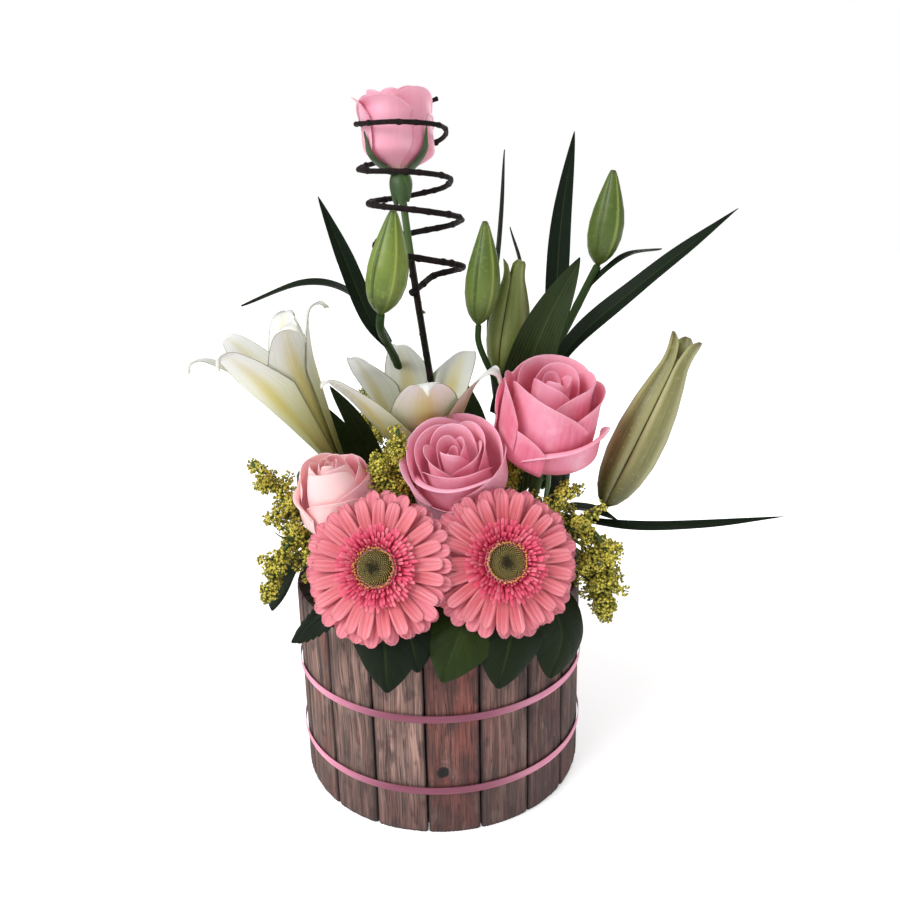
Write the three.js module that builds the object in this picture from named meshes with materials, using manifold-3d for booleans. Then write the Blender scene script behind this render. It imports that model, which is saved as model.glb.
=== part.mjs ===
// A flower arrangement in a round wooden tub: gerberas, roses, lilies with their buds,
// goldenrod and broad green leaves stand in wet floral foam, with one rose in a twig coil.
// Millimetres, +Z up. The origin is the middle of the tub's underside, and -Y is the front.
import * as THREE from "three";
import { mergeVertices } from "three/addons/utils/BufferGeometryUtils.js";
import Module from "manifold-3d";

const wasm = await Module();
wasm.setup();

// ---------------------------------------------------------------- driving dimensions
const TUB_RADIUS = 95;
const TUB_HEIGHT = 134;
const STAVE_COUNT = 18;
const STAVE_INNER_FLAT = 87.5; // distance of a stave's flat back from the tub's axis
const STAVE_GAP = 1.2; // dark joint between two staves
const STAVE_CHAMFER = 0.7;
const FIRST_STAVE_TURN = 0.176; // share of a stave by which the first one is turned from the front
const FLOOR_THICKNESS = 6;
const LINER_RADIUS = 86.8;
const LINER_WALL = 1.5;
const LINER_TOP = 130;
const FOAM_RADIUS = 80;
const FOAM_TOP = 146;
const FOAM_CHAMFER = 7;
const RIBBON_WIDTH = 5.6;
const RIBBON_THICKNESS = 0.7;
const RIBBON_RADIUS = 95.9;
const RIBBON_HEIGHTS = { lower: 31, upper: 80 };
const STEM_FOOT = 92; // height of the cut stem ends inside the foam
const STEM_HOLE_CLEARANCE = 2.4;
const GERBERA_STEM_RADIUS = 3;
const ROSE_STEM_RADIUS = 2.3;
const SPRIG_STEM_RADIUS = 2;
const GOLDENROD_STEM_RADIUS = 1.7;
const GAP = 0.4; // clearance kept between two neighbouring pieces
const BLADE_GAP = 0.9; // the same round petals and leaves, whose edges are sharp
const BLADE = 1.0; // thickness of petals and leaves

// ---------------------------------------------------------------- where things stand
const v3 = (x, y, z) => new THREE.Vector3(x, y, z);
const line = (...points) => points.map((p) => v3(...p));

const GERBERAS = {
  left: {
    centre: v3(-34, -100, 179),
    facing: v3(-0.2, -0.89, 0.41),
    radius: 44.5,
    stem: line([-9, -16, STEM_FOOT], [-19, -50, 148], [-26, -72, 164]),
  },
  right: {
    centre: v3(37, -97, 178.5),
    facing: v3(0.16, -0.9, 0.41),
    radius: 44.5,
    stem: line([12, -18, STEM_FOOT], [23, -50, 148], [30, -71, 164]),
  },
};

const ROSES = {
  centre: {
    base: v3(17, -33, 191.5),
    axis: v3(-0.14, -0.56, 0.82),
    radius: 29.5,
    height: 58,
    open: 1,
    turn: 0.7,
    stem: line([20, -18, STEM_FOOT], [20, -22, 150], [18, -31, 176]),
  },
  right: {
    base: v3(65, -26, 211),
    axis: v3(0.12, -0.33, 0.935),
    radius: 31,
    height: 66,
    open: 1,
    turn: 2.2,
    stem: line([46, -8, STEM_FOOT], [50, -10, 150], [61, -20, 194]),
  },
  left: {
    base: v3(-54, -50, 182),
    axis: v3(-0.16, -0.24, 0.957),
    radius: 24,
    height: 48,
    open: 0.8,
    turn: 1.1,
    stem: line([-24, -14, STEM_FOOT], [-39, -34, 150], [-48, -44, 164]),
  },
  top: {
    base: v3(-16.8, 18, 389),
    axis: v3(-0.06, -0.02, 0.998),
    radius: 21.5,
    height: 48,
    open: 0.5,
    turn: 0.2,
    stem: line(
      [14, 9, STEM_FOOT],
      [12, 10, 150],
      [8, 13, 200],
      [-3, 19, 271],
      [-12, 21, 340],
    ),
  },
};

const LILIES = {
  left: {
    base: v3(-60, -22, 214),
    axis: v3(-0.441, -0.099, 0.892),
    turn: 0.185,
    tilt: 0.09, // lowers the mouth's +X side by this share of its distance from the axis
    reach: [0.9, 1, 1.02, 1.01, 1, 1], // of each tepal, as a share of the rib's distance
    // the rib of a tepal, as distance from the axis and height along it
    rib: [
      [3.5, 0],
      [8.5, 22],
      [16, 50],
      [24, 75],
      [35, 95],
      [46, 98],
    ],
    tepalHalfWidth: 18,
  },
  centre: {
    base: v3(-4, -9, 197),
    axis: v3(-0.112, -0.043, 0.993),
    turn: -0.347,
    tilt: 0.19,
    reach: [1, 0.94, 0.93, 0.78, 1.18, 0.95],
    rib: [
      [3.5, 0],
      [12, 20],
      [26, 44],
      [38, 66],
      [50, 79],
      [58.5, 80],
    ],
    tepalHalfWidth: 20,
  },
};

const BUDS = {
  1: { base: v3(-30, -26, 309), tip: v3(-20, -25, 367), radius: 12.2 },
  2: { base: v3(29, -6, 299), tip: v3(34, -5, 360), radius: 10.4 },
  3: { base: v3(45, 13, 263), tip: v3(54, 10, 338), radius: 13, parted: 6 },
  4: { base: v3(108, 20, 332), tip: v3(116, 20, 389), radius: 10.8 },
  5: { base: v3(107, -25, 184), tip: v3(155, -25, 292), radius: 15.5, parted: 8 },
};

// Each lily stem: its stalks, and its strap leaves as ribs with a facing and half width.
const LILY_STEMS = {
  left: {
    stalks: [
      {
        path: line(
          [-8, 27, STEM_FOOT],
          [-9, 28, 150],
          [-15, 31, 225],
          [-23, 26, 268],
          [-29, 4, 288],
          [-31, -20, 301],
          [-30, -25.4, 308],
        ),
        radius: 2.6,
      },
      {
        path: line([-9, 28, 160], [-22, 16, 178], [-46, -10, 198], [-59, -21.2, 213]),
        radius: 2.4,
      },
      { path: line([-9, 28, 156], [-7, 10, 172], [-4, -7, 186], [-4, -8.8, 196]), radius: 2.4 },
    ],
    leaves: [
      {
        rib: line([-28, 6, 286], [-38, 2, 302], [-52, 0, 340], [-66, 0, 377]),
        facing: v3(0.35, -1, 0.2),
        halfWidth: 9,
      },
      {
        rib: line([-29, 6, 286], [-42, 7, 311], [-60, 7, 323], [-80, 5, 325], [-118, 0, 313]),
        facing: v3(0.3, -0.25, 1),
        halfWidth: 6,
      },
      {
        rib: line([-38, -2, 192], [-42, 2, 212], [-52, 0, 238], [-66, -2, 262]),
        facing: v3(0.2, -1, 0.3),
        halfWidth: 10,
      },
    ],
  },
  middle: {
    stalks: [
      {
        path: line(
          [36, 22, STEM_FOOT],
          [38, 22, 150],
          [43, 20, 225],
          [45, 14, 255],
          [45, 13.2, 262],
        ),
        radius: 2.6,
      },
      {
        path: line([43, 20, 232], [43, 6, 255], [35, -2, 272], [29, -5, 288], [29, -5.8, 298]),
        radius: 1.9,
      },
    ],
    leaves: [
      {
        rib: line([44, 19, 234], [56, 0, 258], [68, -11, 294], [92, -4, 338]),
        facing: v3(-0.1, -1, 0.1),
        halfWidth: 14.5,
      },
      {
        rib: line([43, 21, 226], [38, 32, 290], [45, 33, 350], [49, 28, 404]),
        facing: v3(0.9, -0.5, 0),
        halfWidth: 5,
      },
      {
        rib: line([44, 18, 238], [58, 33, 292], [60, 30, 326], [52, 26, 357]),
        facing: v3(0.9, -0.5, 0),
        halfWidth: 4,
      },
    ],
  },
  right: {
    stalks: [
      {
        path: line(
          [52, 14, STEM_FOOT],
          [55, 16, 150],
          [66, 20, 215],
          [79, 20, 272],
          [92, 20, 300],
          [104, 20, 324],
          [107.6, 20, 331],
        ),
        radius: 2.7,
      },
      {
        path: line([57, 17, 160], [76, 6, 168], [94, -16, 172], [106, -24, 182.5]),
        radius: 2.5,
      },
    ],
    leaves: [
      {
        rib: line([80, 21, 276], [83, 30, 318], [86, 33, 360], [93, 30, 414]),
        facing: v3(-0.2, -1, 0),
        halfWidth: 7.5,
      },
      {
        rib: line([74, 19, 256], [92, 12, 284], [134, 10, 320], [193, 10, 365]),
        facing: v3(-0.5, -0.75, 0.75),
        halfWidth: 7.5,
      },
      {
        rib: line([100, 20, 316], [113, 17, 329], [127, 17, 338], [149, 20, 341]),
        facing: v3(-0.3, -0.4, 1),
        halfWidth: 3.5,
      },
      {
        rib: line([70, 11, 166], [84, -12, 178], [98, -26, 182], [114, -33, 177]),
        facing: v3(0.3, -0.5, 1),
        halfWidth: 7,
      },
      {
        rib: line([90, -12, 171], [124, -28, 171], [168, -27, 170], [224, -25, 173]),
        facing: v3(0, -0.75, 0.8),
        halfWidth: 3.4,
      },
    ],
  },
};

// The twig: a straight leg, and a coil round the upper rose whose tail crosses the leg.
const COIL = {
  centreTop: v3(-15, 17, 412),
  lean: 0.118, // sideways step of the coil's middle for each millimetre down
  radius: 28,
  pitch: 26,
  firstTurn: -0.92,
  lastTurn: 3.12,
  stepsPerTurn: 12,
  dip: 6.5, // by which the first two loops hang lower at their left
  twigRadius: 1.8,
  legRadius: 1.9,
  tail: line([3, 33, 327], [-6, 19, 321.5], [-12, 9, 318]),
  leg: line([-12, 14, 338], [-3, 8, 271], [13, -4, 150], [19, -8, STEM_FOOT]),
};

const GOLDENROD = {
  left: {
    stem: line([-40, -2, STEM_FOOT], [-59, -24, 150], [-84, -45, 190], [-108, -50, 226]),
    branches: 6,
    reach: 20,
  },
  low_left: {
    stem: line([-46, -26, STEM_FOOT], [-62, -42, 150], [-82, -60, 184], [-96, -69, 166], [-102, -72, 146]),
    branches: 6,
    reach: 17,
  },
  centre: {
    stem: line([2, -34, STEM_FOOT], [-5, -38, 150], [-20, -50, 200], [-21, -58, 246]),
    branches: 6,
    reach: 17,
  },
  inner_right: {
    stem: line([36, -30, STEM_FOOT], [40, -34, 150], [56, -48, 184], [86, -52, 207]),
    branches: 5,
    reach: 17,
  },
  right: {
    stem: line([44, -14, STEM_FOOT], [60, -34, 150], [84, -54, 184], [99, -66, 172], [102, -72, 142]),
    branches: 6,
    reach: 17,
  },
  back: {
    stem: line([-30, 48, STEM_FOOT], [-32, 50, 150], [-44, 62, 200], [-50, 66, 246]),
    branches: 5,
    reach: 20,
  },
};

// Broad-leaved sprigs: a short woody stem and leaves, each with its rib and half width.
const SPRIGS = {
  front_left: {
    stem: line([-36, -58, STEM_FOOT], [-38, -64, 150], [-40, -70, 156]),
    leaves: [
      { rib: line([-40, -70, 155], [-34, -92, 153], [-31, -105, 134], [-31, -109, 107]), halfWidth: 20 },
      { rib: line([-40, -70, 155], [-56, -88, 153], [-70, -92, 145], [-86, -88, 129]), halfWidth: 10 },
      { rib: line([-39, -70, 155], [-14, -90, 154], [-2, -99, 144], [8, -103, 130]), halfWidth: 17 },
    ],
  },
  front_right: {
    stem: line([36, -60, STEM_FOOT], [38, -66, 150], [39, -71, 156]),
    leaves: [
      { rib: line([38, -71, 155], [18, -96, 151], [8, -109, 135], [0, -113, 115]), halfWidth: 21 },
      { rib: line([39, -71, 155], [42, -98, 149], [37, -108, 130], [31, -110, 108]), halfWidth: 19 },
      { rib: line([40, -70, 155], [64, -86, 153], [75, -92, 132], [68, -94, 104]), halfWidth: 23 },
    ],
  },
  left: {
    stem: line([-70, 4, STEM_FOOT], [-72, 4, 150], [-74, 4, 156]),
    leaves: [
      { rib: line([-74, 3, 155], [-90, -24, 158], [-99, -46, 152], [-101, -62, 136]), halfWidth: 17 },
      { rib: line([-74, 4, 155], [-98, 2, 158], [-112, 0, 140], [-117, -2, 116]), halfWidth: 19 },
      { rib: line([-74, 5, 155], [-90, 26, 166], [-98, 42, 178], [-102, 60, 184]), halfWidth: 18 },
    ],
  },
  right: {
    stem: line([70, 2, STEM_FOOT], [72, 2, 150], [74, 2, 156]),
    leaves: [
      { rib: line([74, 1, 155], [92, -22, 151], [101, -38, 134], [103, -48, 112]), halfWidth: 17 },
      { rib: line([74, 3, 155], [98, 10, 160], [112, 16, 148], [119, 22, 124]), halfWidth: 19 },
      { rib: line([74, 3, 155], [86, 24, 172], [92, 38, 192], [98, 52, 202]), halfWidth: 18 },
    ],
  },
  back_left: {
    stem: line([-46, 58, STEM_FOOT], [-48, 60, 150], [-50, 63, 156]),
    leaves: [
      { rib: line([-50, 63, 155], [-66, 80, 158], [-76, 92, 142], [-80, 98, 118]), halfWidth: 19 },
      { rib: line([-50, 63, 155], [-36, 88, 158], [-30, 106, 142], [-28, 113, 116]), halfWidth: 19 },
      { rib: line([-50, 63, 155], [-66, 56, 186], [-74, 54, 212], [-80, 52, 238]), halfWidth: 19 },
      { rib: line([-49, 63, 155], [-20, 64, 180], [-14, 66, 206], [-14, 66, 234]), halfWidth: 19 },
    ],
  },
  back_right: {
    stem: line([42, 60, STEM_FOOT], [44, 62, 150], [46, 65, 156]),
    leaves: [
      { rib: line([46, 65, 155], [66, 78, 158], [80, 86, 142], [86, 90, 116]), halfWidth: 19 },
      { rib: line([46, 65, 155], [32, 90, 158], [24, 107, 142], [22, 113, 116]), halfWidth: 19 },
      { rib: line([46, 65, 155], [62, 56, 186], [68, 52, 214], [72, 50, 242]), halfWidth: 19 },
      { rib: line([46, 65, 154], [30, 58, 190], [24, 56, 222], [22, 56, 252]), halfWidth: 18 },
    ],
  },
};

// ---------------------------------------------------------------- materials
const finish = (color, roughness) => new THREE.MeshStandardMaterial({ color, roughness, metalness: 0 });
const MATERIALS = {
  stave: finish(0x8d6f63, 0.75),
  board: finish(0x7a6252, 0.85),
  liner: finish(0x2c3a2a, 0.5),
  foam: finish(0x3f5a35, 0.95),
  ribbon: finish(0xcf7fb0, 0.3),
  twig: finish(0x2a1a18, 0.8),
  rosePink: finish(0xd9718f, 0.55),
  rosePale: finish(0xf0bcbc, 0.55),
  gerbera: finish(0xee8090, 0.55),
  gerberaEye: finish(0xd8405f, 0.7),
  lily: finish(0xf2efe2, 0.45),
  bud: finish(0x86a04a, 0.45),
  budPale: finish(0xb4b478, 0.45),
  stem: finish(0x37502b, 0.6),
  leaf: finish(0x1d3a20, 0.45),
  goldenrod: finish(0x9c9a2c, 0.8),
};

// ---------------------------------------------------------------- solids from geometry
function solidOf(geometry) {
  return new wasm.Manifold(
    new wasm.Mesh({
      numProp: 3,
      vertProperties: new Float32Array(geometry.attributes.position.array),
      triVerts: new Uint32Array(geometry.index.array),
    }),
  );
}

function geometryOf(solid) {
  const mesh = solid.getMesh();
  return new THREE.BufferGeometry()
    .setAttribute("position", new THREE.BufferAttribute(new Float32Array(mesh.vertProperties), 3))
    .setIndex(new THREE.BufferAttribute(new Uint32Array(mesh.triVerts), 1));
}

const joined = (solids) => solids.reduce((all, one) => all.add(one));

const largestBody = (solid) =>
  solid.decompose().reduce((best, body) => (body.volume() > best.volume() ? body : best));

// An indexed geometry from points and triangles, turned so that its faces point out.
function closedGeometry(points, triangles) {
  let volume = 0;
  for (const [a, b, c] of triangles) {
    volume += points[a].dot(points[b].clone().cross(points[c]));
  }
  const faces = volume < 0 ? triangles.map(([a, b, c]) => [a, c, b]) : triangles;
  return new THREE.BufferGeometry()
    .setAttribute("position", new THREE.Float32BufferAttribute(points.flatMap((p) => p.toArray()), 3))
    .setIndex(faces.flat());
}

// Rings of points skinned into one closed body, with a point at either end.
function loft(start, rings, end) {
  const sides = rings[0].length;
  const points = [start, ...rings.flat(), end];
  const at = (ring, side) => 1 + ring * sides + (side % sides);
  const triangles = [];
  for (let side = 0; side < sides; side++) {
    triangles.push([0, at(0, side + 1), at(0, side)]);
    for (let ring = 0; ring + 1 < rings.length; ring++) {
      triangles.push([at(ring, side), at(ring, side + 1), at(ring + 1, side)]);
      triangles.push([at(ring, side + 1), at(ring + 1, side + 1), at(ring + 1, side)]);
    }
    triangles.push([points.length - 1, at(rings.length - 1, side), at(rings.length - 1, side + 1)]);
  }
  return closedGeometry(points, triangles);
}

// A round stalk along a smooth path. radius is a number or a function of 0..1 along it.
function stalk(path, radius, grow = 0, sides = 5, steps = Math.round(path.length * 1.5)) {
  const curve = new THREE.CatmullRomCurve3(path);
  const frames = curve.computeFrenetFrames(steps);
  const radiusAt = typeof radius === "function" ? radius : () => radius;
  const rings = [];
  for (let i = 0; i <= steps; i++) {
    const centre = curve.getPointAt(i / steps);
    const r = radiusAt(i / steps) + grow;
    rings.push(
      Array.from({ length: sides }, (_, side) => {
        const angle = (side / sides) * 2 * Math.PI;
        return centre
          .clone()
          .addScaledVector(frames.normals[i], r * Math.cos(angle))
          .addScaledVector(frames.binormals[i], r * Math.sin(angle));
      }),
    );
  }
  const start = curve.getPointAt(0).addScaledVector(frames.tangents[0], -grow);
  const end = curve.getPointAt(1).addScaledVector(frames.tangents[steps], grow);
  return solidOf(loft(start, rings, end));
}

// A petal or leaf about surface(u, v), u in -1..1 across it and v in 0..1 along it. It is thickest
// along its middle and thins to its two edges. Both faces are split into triangles alike.
function blade(surface, columns, stations, grow = 0) {
  const nudge = 0.02;
  const between = (from, to) => to.clone().sub(from);
  const normalAt = (u, v) => {
    const across = between(surface(u - nudge, v), surface(u + nudge, v));
    const along = between(surface(u, Math.max(0, v - nudge)), surface(u, Math.min(1, v + nudge)));
    return across.cross(along).normalize();
  };
  const beyond = (from, to) => to.clone().addScaledVector(between(from, to).normalize(), grow);
  const points = [
    beyond(surface(0, stations[0]), surface(0, 0)),
    beyond(surface(0, stations[stations.length - 1]), surface(0, 1)),
  ];
  const faces = [[], []]; // for each face, the row of point numbers at each station
  for (const v of stations) {
    const edges = [-1, 1].map(
      (u) => points.push(beyond(surface(u * (1 - 2 / columns), v), surface(u, v))) - 1,
    );
    faces.forEach((rows, face) => {
      const side = face === 0 ? 1 : -1;
      const inner = Array.from({ length: columns - 1 }, (_, i) => {
        const u = (2 * (i + 1)) / columns - 1;
        const offset = side * (BLADE / 2 + grow);
        return points.push(surface(u, v).addScaledVector(normalAt(u, v), offset)) - 1;
      });
      rows.push([edges[0], ...inner, edges[1]]);
    });
  }
  const triangles = [];
  faces.forEach((rows, face) => {
    const add = (a, b, c) => triangles.push(face === 0 ? [a, b, c] : [a, c, b]);
    const last = rows.length - 1;
    for (let i = 0; i < columns; i++) {
      add(0, rows[0][i + 1], rows[0][i]);
      add(1, rows[last][i], rows[last][i + 1]);
      for (let j = 0; j < last; j++) {
        add(rows[j][i], rows[j][i + 1], rows[j + 1][i + 1]);
        add(rows[j][i], rows[j + 1][i + 1], rows[j + 1][i]);
      }
    }
  });
  return solidOf(closedGeometry(points, triangles));
}

// Takes a bloom's own frame, +Z out of the flower, to its place in the arrangement.
function standing(base, axis, turn = 0) {
  const tilt = new THREE.Quaternion().setFromUnitVectors(v3(0, 0, 1), axis.clone().normalize());
  const spin = new THREE.Quaternion().setFromAxisAngle(v3(0, 0, 1), turn);
  return new THREE.Matrix4().compose(base, tilt.multiply(spin), v3(1, 1, 1));
}

// A turned body from a profile of [radius, height] pairs that starts and ends on the axis.
function turned(profile, segments, place = new THREE.Matrix4()) {
  const rings = profile.slice(1, -1).map(([r, z]) =>
    Array.from({ length: segments }, (_, k) => {
      const angle = (k / segments) * 2 * Math.PI;
      return v3(r * Math.cos(angle), r * Math.sin(angle), z);
    }),
  );
  const [first, last] = [profile[0][1], profile[profile.length - 1][1]];
  return solidOf(loft(v3(0, 0, first), rings, v3(0, 0, last)).applyMatrix4(place));
}

// ---------------------------------------------------------------- tub and filling
function staveGeometry() {
  const halfAngle = Math.PI / STAVE_COUNT - STAVE_GAP / 2 / TUB_RADIUS;
  const chamferAngle = STAVE_CHAMFER / TUB_RADIUS;
  const outline = new THREE.Shape();
  outline.moveTo(STAVE_INNER_FLAT, -STAVE_INNER_FLAT * Math.tan(halfAngle));
  const edgeRadius = TUB_RADIUS - STAVE_CHAMFER;
  outline.lineTo(edgeRadius * Math.cos(halfAngle), -edgeRadius * Math.sin(halfAngle));
  const facets = 3;
  for (let i = 0; i <= facets; i++) {
    const angle = (halfAngle - chamferAngle) * ((2 * i) / facets - 1);
    outline.lineTo(TUB_RADIUS * Math.cos(angle), TUB_RADIUS * Math.sin(angle));
  }
  outline.lineTo(edgeRadius * Math.cos(halfAngle), edgeRadius * Math.sin(halfAngle));
  outline.lineTo(STAVE_INNER_FLAT, STAVE_INNER_FLAT * Math.tan(halfAngle));
  return new THREE.ExtrudeGeometry(outline, { depth: TUB_HEIGHT, bevelEnabled: false });
}

// A turned piece about +Z from a closed [radius, height] outline or one that ends on the axis.
function lathe(outline, segments) {
  const points = outline.map(([r, z]) => new THREE.Vector2(r, z));
  return new THREE.LatheGeometry(points, segments).rotateX(Math.PI / 2);
}

const ribbonGeometry = () =>
  lathe(
    [
      [RIBBON_RADIUS, -RIBBON_WIDTH / 2],
      [RIBBON_RADIUS + RIBBON_THICKNESS, -RIBBON_WIDTH / 2],
      [RIBBON_RADIUS + RIBBON_THICKNESS, RIBBON_WIDTH / 2],
      [RIBBON_RADIUS, RIBBON_WIDTH / 2],
      [RIBBON_RADIUS, -RIBBON_WIDTH / 2],
    ],
    30,
  );

const floorGeometry = () =>
  lathe(
    [
      [0, 0],
      [LINER_RADIUS, 0],
      [LINER_RADIUS, FLOOR_THICKNESS],
      [0, FLOOR_THICKNESS],
    ],
    24,
  );

const LINER_FOOT = FLOOR_THICKNESS + GAP;
const linerGeometry = () =>
  lathe(
    [
      [0, LINER_FOOT],
      [LINER_RADIUS, LINER_FOOT],
      [LINER_RADIUS, LINER_TOP],
      [LINER_RADIUS - LINER_WALL, LINER_TOP],
      [LINER_RADIUS - LINER_WALL, LINER_FOOT + LINER_WALL],
      [0, LINER_FOOT + LINER_WALL],
    ],
    24,
  );

const foamBlank = () =>
  turned(
    [
      [0, LINER_FOOT + LINER_WALL + GAP],
      [FOAM_RADIUS, LINER_FOOT + LINER_WALL + GAP],
      [FOAM_RADIUS, FOAM_TOP - FOAM_CHAMFER],
      [FOAM_RADIUS - FOAM_CHAMFER, FOAM_TOP],
      [0, FOAM_TOP],
    ],
    24,
  );

// A plain hole in the foam for each stem, from under its cut end to above the foam.
function stemHoles() {
  const stems = [
    ...Object.values(GERBERAS).map(({ stem }) => [stem, GERBERA_STEM_RADIUS]),
    ...Object.values(ROSES).map(({ stem }) => [stem, ROSE_STEM_RADIUS]),
    ...Object.values(LILY_STEMS).map(({ stalks }) => [stalks[0].path, stalks[0].radius]),
    ...Object.values(SPRIGS).map(({ stem }) => [stem, SPRIG_STEM_RADIUS]),
    ...Object.values(GOLDENROD).map(({ stem }) => [stem, GOLDENROD_STEM_RADIUS]),
    [COIL.leg.toReversed(), COIL.legRadius],
  ];
  return stems.map(([[foot, collar], radius]) => {
    const along = collar.clone().sub(foot).normalize();
    const depth = foot.distanceTo(collar);
    return turned(
      [
        [0, -STEM_HOLE_CLEARANCE],
        [radius + STEM_HOLE_CLEARANCE, -STEM_HOLE_CLEARANCE],
        [radius + STEM_HOLE_CLEARANCE, depth + 12],
        [0, depth + 12],
      ],
      5,
      standing(foot, along),
    );
  });
}

// ---------------------------------------------------------------- gerberas
// A ray floret, narrow at the root and blunt at the tip, in the bloom's own frame.
function ray(angle, root, reach, halfWidth, height, rise) {
  return (u, v) => {
    const width = halfWidth * Math.sin(Math.PI * (0.07 + 0.78 * v)) ** 0.8;
    const sag = 0.6 * u * u;
    return v3(root + v * (reach - root), u * width, height + rise * v * v + sag).applyAxisAngle(
      v3(0, 0, 1),
      angle,
    );
  };
}

const RAY_ROWS = [
  { count: 13, reach: 1, height: -4.6, rise: -3, halfWidth: 5.5 },
  { count: 13, reach: 0.93, height: -1.7, rise: 0.5, halfWidth: 5.2 },
];

function gerberaRays({ centre, facing, radius }, grow) {
  const place = standing(centre, facing);
  const hub = turned(
    [
      [0, -6.5],
      [9, -6 - grow],
      [11 + grow, -4],
      [11 + grow, 0],
      [0, grow],
    ],
    12,
    place,
  );
  const rays = RAY_ROWS.flatMap((row, r) =>
    Array.from({ length: row.count }, (_, k) => {
      const angle = ((k + r / 2) / row.count) * 2 * Math.PI;
      const reach = radius * row.reach * (1 - 0.05 * ((k * 7) % 3));
      const surface = ray(angle, 7.5, reach, row.halfWidth, row.height, row.rise);
      return blade((u, v) => surface(u, v).applyMatrix4(place), 2, [0.5, 0.95], grow);
    }),
  );
  return joined([hub, ...rays]);
}

// The short inner florets of a gerbera stand in toothed crowns round a low dome.
const EYE_CROWNS = [
  { teeth: 16, valley: 13, reach: 22, height: 0.9, rise: 4 },
  { teeth: 11, valley: 9.5, reach: 15.5, height: 2.6, rise: 5 },
];

function crown({ teeth, valley, reach, height, rise }, grow) {
  const outline = new THREE.Shape();
  for (let k = 0; k < 2 * teeth; k++) {
    const angle = (k / (2 * teeth)) * 2 * Math.PI;
    const r = (k % 2 ? valley : reach) + grow;
    const point = [r * Math.cos(angle), r * Math.sin(angle)];
    if (k === 0) outline.moveTo(...point);
    else outline.lineTo(...point);
  }
  const plate = new THREE.ExtrudeGeometry(outline, { depth: 1.2 + 2 * grow, bevelEnabled: false });
  plate.deleteAttribute("normal").deleteAttribute("uv");
  const geometry = mergeVertices(plate.translate(0, 0, height - grow), 1e-4);
  const position = geometry.attributes.position;
  for (let i = 0; i < position.count; i++) {
    const share = Math.hypot(position.getX(i), position.getY(i)) / reach;
    position.setZ(i, position.getZ(i) + rise * share * share);
  }
  return geometry;
}

function gerberaEye({ centre, facing }, grow) {
  const place = standing(centre, facing);
  const dome = turned(
    [
      [0, 0.9 - grow],
      [8.5 + grow, 0.9 - grow],
      [8.5 + grow, 4.5],
      [6.5 + grow, 6.6 + grow],
      [0, 5 + grow],
    ],
    12,
    place,
  );
  return joined([dome, ...EYE_CROWNS.map((row) => solidOf(crown(row, grow).applyMatrix4(place)))]);
}

const backOf = ({ centre, facing }, distance) =>
  centre.clone().addScaledVector(facing.clone().normalize(), -distance);

function gerberaStemCore(gerbera, grow) {
  const involucre = turned(
    [
      [0, -17],
      [3.5 + grow, -17],
      [9 + grow, -11],
      [10.5 + grow, -6.9 + grow],
      [0, -6.9 + grow],
    ],
    10,
    standing(gerbera.centre, gerbera.facing),
  );
  return stalk([...gerbera.stem, backOf(gerbera, 14)], GERBERA_STEM_RADIUS, grow).add(involucre);
}

// ---------------------------------------------------------------- roses
// Petal layers from the heart out: share of the bloom's radius and height, half angle in
// radians, outward lean of the lip, and where the first petal of the layer stands.
const ROSE_LAYERS = [
  { count: 3, radius: 0.5, height: 1, half: 1, lean: 0, first: 0.2 },
  { count: 4, radius: 0.72, height: 0.95, half: 0.86, lean: 0.02, first: 1.3 },
  { count: 5, radius: 0.92, height: 0.78, half: 0.74, lean: 0.13, first: 0.4 },
];

function rosePetal(rose, layer, k) {
  const middle = layer.first + (k / layer.count) * 2 * Math.PI;
  const belly = rose.radius * layer.radius;
  const lean = layer.lean * rose.radius * rose.open;
  return (u, v) => {
    const swell = Math.sin(Math.min(1, v / 0.5) * (Math.PI / 2));
    const lip = Math.max(0, v - 0.45) / 0.55;
    const r = (3.5 + (belly - 3.5) * swell + lean * lip * lip) * (1 + 0.06 * u);
    const angle = middle + u * layer.half * (0.6 + 0.4 * Math.sin(Math.PI * Math.min(v, 0.5)));
    const z = rose.height * layer.height * v * (1 - 0.14 * u * u * v) - 3 * lip * lip * rose.open;
    return v3(r * Math.cos(angle), r * Math.sin(angle), 1.5 + z);
  };
}

function roseBloom(rose, grow) {
  const place = standing(rose.base, rose.axis, rose.turn);
  const petals = ROSE_LAYERS.flatMap((layer) =>
    Array.from({ length: layer.count }, (_, k) => {
      const petal = rosePetal(rose, layer, k);
      return blade((u, v) => petal(u, v).applyMatrix4(place), 2, [0.2, 0.55, 0.94], grow);
    }),
  );
  const heart = turned(
    [
      [0, 1],
      [5 + grow, 1.5 - grow],
      [rose.radius * 0.38 + grow, 6],
      [rose.radius * 0.3, rose.height * 0.35],
      [rose.radius * 0.26, rose.height * 0.8],
      [0, rose.height * 0.9],
    ],
    7,
    place,
  );
  return joined([heart, ...petals]);
}

function roseStemCore(rose, grow) {
  const cup = turned(
    [
      [0, -9],
      [2.6 + grow, -9],
      [5 + grow, -5.5],
      [5.4 + grow, -1.5],
      [3.2 + grow, 0.8 + grow],
      [0, 1 + grow],
    ],
    6,
    standing(rose.base, rose.axis),
  );
  const neck = rose.base.clone().addScaledVector(rose.axis.clone().normalize(), -6);
  return stalk([...rose.stem, neck], ROSE_STEM_RADIUS, grow).add(cup);
}

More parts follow.
